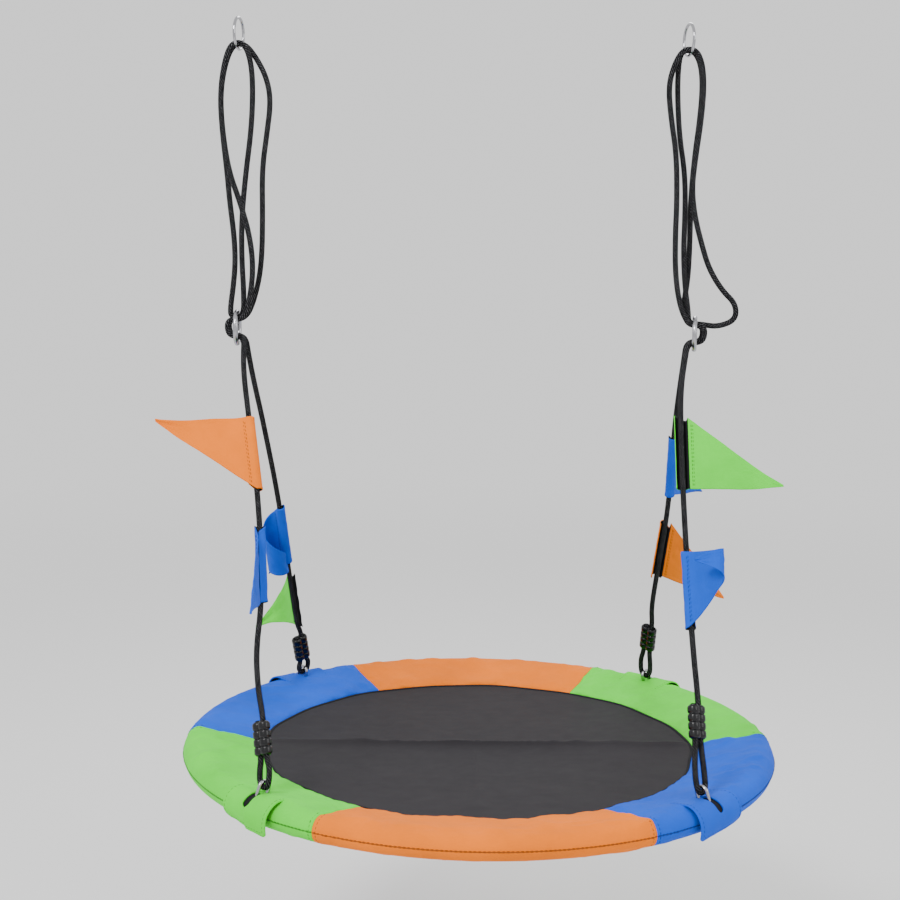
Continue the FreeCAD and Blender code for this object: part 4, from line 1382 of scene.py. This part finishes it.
class SWING_OT_flags(bpy.types.Operator):
    """Triangular pennants whose sleeves wrap the leg ropes"""
    bl_idname = "swing.flags"
    bl_label = "Pennants"

    def execute(self, context):
        for number, (place, flag) in enumerate(PENNANTS.items()):
            name, body = "pennant_" + place, "flag_" + place
            colour = place.split("_")[-1]
            bm, columns, seams = flag_bmesh(flag, 1.7 * number)
            mesh = to_mesh(bm, name)
            obj = finish_object(name, mesh, material(colour), body, "cloth_" + colour)
            # second slot: near-black cloth, painted shade on the sleeve's side that faces the rope
            for extra in ("shade_cloth", colour, colour):
                mesh.materials.append(material(extra))
            obj.vertex_groups.new(name="hem")
            self.shade_sleeve_inside(mesh, columns, flag)
            add_modifier(obj, "SOLIDIFY", "thickness", thickness=CLOTH, offset=0.0,
                         material_offset=1, vertex_group="hem", thickness_vertex_group=0.6)
            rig.replaces(obj, body)
            sewn(name + "_stitches", seams, "thread_" + colour, body)
            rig.sheet(obj, flat=(FLY + SLEEVE_CLOTH, HOIST), held="hung",
                     rests_on=["rope_leg_" + flag.leg],
                     area=(SLEEVE_CLOTH + 0.5 * FLY) * HOIST)
        return {"FINISHED"}

    def shade_sleeve_inside(self, mesh, columns, flag):
        """Dark cloth on the side of the sleeve that faces the rope: painted shade inside the sleeve."""
        first = (FLY_STEPS - 1) / columns
        for face in mesh.polygons:
            across = sum(mesh.uv_layers[0].data[i].uv.x for i in face.loop_indices) / 4
            wrapped = across / WEAVE_WIDTH > first
            face.material_index = (0 if flag.wrap > 0 else 1) if wrapped else 2


# ------------------------------------------------------------------ metal and carried-over parts
# distance of each barrel from the ferrule's middle, its bore radius and its ribs
BARREL_APART, BARREL_BORE, RIBS = 0.0068, 0.0054, 4


def ribbed_barrel(bm, centre, along):
    """Sleeve with rounded ribs, turned about the rope that runs through it."""
    bore, half = BARREL_BORE, FERRULE_HALF
    rows = [(bore, half), (bore + 0.0012, half + 0.0010)]
    for rib in range(RIBS):
        for i in range(9):
            share = i / 8.0
            swell = (1.0 - (2.0 * share - 1.0) ** 4) ** 0.5
            rows.append((0.0072 + 0.0023 * swell, half * (1.0 - 2.0 * (rib + share) / RIBS)))
    rows += [(bore + 0.0012, -half - 0.0010), (bore, -half)]
    side = along.orthogonal().normalized()
    verts = [bm.verts.new(centre + side * radius + along * height) for radius, height in rows]
    edges = [bm.edges.new(pair) for pair in zip(verts, verts[1:] + verts[:1])]
    bmesh.ops.spin(bm, geom=verts + edges, cent=centre, axis=along, angle=2.0 * math.pi,
                   steps=28, use_merge=True)


class SWING_OT_fittings(bpy.types.Operator):
    """Ribbed ferrules, and finishes for the rings, staples, frame, screws and foam"""
    bl_idname = "swing.fittings"
    bl_label = "Fittings"

    def execute(self, context):
        for corner, angle, _ in CORNERS:
            _, along, across, middle, _, _ = eye_frame(corner, angle)
            bm = bmesh.new()
            for sign in (-1, 1):
                ribbed_barrel(bm, middle + across * BARREL_APART * sign, along)
            bmesh.ops.recalc_face_normals(bm, faces=bm.faces)
            name = "ribbed_ferrule_" + corner
            obj = finish_object(name, to_mesh(bm, name), material("ferrule"), "seat",
                                "ferrule_black")
            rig.replaces(obj, "ferrule_" + corner)
        finishes = (("hang_ring", "chrome"), ("adjuster_ring", "zinc"),
                    ("rope_staple", "zinc"), ("frame_tube", "steel"),
                    ("foam_sleeve", "foam"), ("joint_screws", "zinc"))
        for name, obj in frame["nodes"].items():
            for start, finish in finishes:
                if name.startswith(start):
                    obj.data.materials.clear()
                    obj.data.materials.append(material(finish))
        return {"FINISHED"}


# ------------------------------------------------------------------ stage
class SWING_OT_stage(bpy.types.Operator):
    """Pale floor, soft lights and the camera"""
    bl_idname = "swing.stage"
    bl_label = "Stage"

    def execute(self, context):
        settings = context.scene.swing_stage
        self.floor(-settings.floor_drop)
        self.light("key_light", (-1.5, -2.3, 1.6), 1.2, 105.0)
        self.light("fill_light", (2.4, -1.6, 0.6), 1.6, 26.0)
        self.light("back_light", (0.6, 2.4, 1.5), 1.6, 34.0)
        self.world(context)
        self.camera(context, settings)
        return {"FINISHED"}

    def floor(self, height):
        bm = bmesh.new()
        bmesh.ops.create_grid(bm, x_segments=8, y_segments=8, size=9.0)
        bmesh.ops.translate(bm, verts=bm.verts, vec=(0, 0, height))
        obj = finish_object("floor", to_mesh(bm, "floor"), material("floor"), None, None)
        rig.stage(obj)

    def light(self, name, place, size, power):
        data = bpy.data.lights.new(name, "AREA")
        data.shape, data.size, data.energy = "DISK", size, power
        obj = bpy.data.objects.new(name, data)
        bpy.context.scene.collection.objects.link(obj)
        obj.location = place
        aim = SEAT + Vector((0, 0, 0.45)) - Vector(place)
        obj.rotation_euler = aim.to_track_quat("-Z", "Y").to_euler()

    def world(self, context):
        world = bpy.data.worlds.new("soft_daylight")
        world.use_nodes = True
        shade_node = world.node_tree.nodes["Background"]
        shade_node.inputs["Color"].default_value = (1.0, 1.0, 1.0, 1.0)
        shade_node.inputs["Strength"].default_value = context.scene.swing_stage.daylight
        context.scene.world = world

    def camera(self, context, settings):
        data = bpy.data.cameras.new("camera")
        data.lens, data.sensor_width = settings.lens, 36.0
        data.clip_end = 60.0
        obj = bpy.data.objects.new("camera", data)
        context.scene.collection.objects.link(obj)
        pitch, yaw, roll = settings.pitch, settings.yaw, settings.roll
        ahead = Vector((math.sin(yaw) * math.cos(pitch), math.cos(yaw) * math.cos(pitch),
                        -math.sin(pitch)))
        right = Vector((math.cos(yaw), -math.sin(yaw), 0.0))
        up = right.cross(ahead)
        turned_right = right * math.cos(roll) + up * math.sin(roll)
        turned_up = up * math.cos(roll) - right * math.sin(roll)
        turn = Matrix((turned_right, turned_up, -ahead)).transposed()
        obj.matrix_world = Matrix.Translation(settings.camera_place) @ turn.to_4x4()
        context.scene.camera = obj


class SWING_PT_panel(bpy.types.Panel):
    """Sidebar panel with the settings and one button for each part"""
    bl_idname = "SWING_PT_panel"
    bl_label = "Nest swing"
    bl_space_type = "VIEW_3D"
    bl_region_type = "UI"
    bl_category = "Nest swing"

    def draw(self, context):
        scene = context.scene
        for group in (scene.swing_rope, scene.swing_cloth, scene.swing_stage):
            box = self.layout.box()
            for name in group.__annotations__:
                box.prop(group, name)
        for operator in OPERATORS:
            self.layout.operator(operator.bl_idname)


OPERATORS = (SWING_OT_stage, SWING_OT_ropes, SWING_OT_fittings, SWING_OT_cover, SWING_OT_mat,
             SWING_OT_flaps, SWING_OT_flags)
CLASSES = (SwingRope, SwingCloth, SwingStage) + OPERATORS + (SWING_PT_panel,)


def register():
    for item in CLASSES:
        bpy.utils.register_class(item)
    bpy.types.Scene.swing_rope = PointerProperty(type=SwingRope)
    bpy.types.Scene.swing_cloth = PointerProperty(type=SwingCloth)
    bpy.types.Scene.swing_stage = PointerProperty(type=SwingStage)


def unregister():
    del bpy.types.Scene.swing_stage
    del bpy.types.Scene.swing_cloth
    del bpy.types.Scene.swing_rope
    for item in reversed(CLASSES):
        bpy.utils.unregister_class(item)


def plain(box):
    return [[float(value) for value in corner] for corner in box]


def main():
    register()
    for operator in OPERATORS:
        group, name = operator.bl_idname.split(".")
        getattr(getattr(bpy.ops, group), name)()
    with open("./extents.json", "w") as out:
        json.dump({"cad": plain(CAD_BOX), "visual": plain(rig.bounds())}, out)


if __name__ == "__main__":
    main()
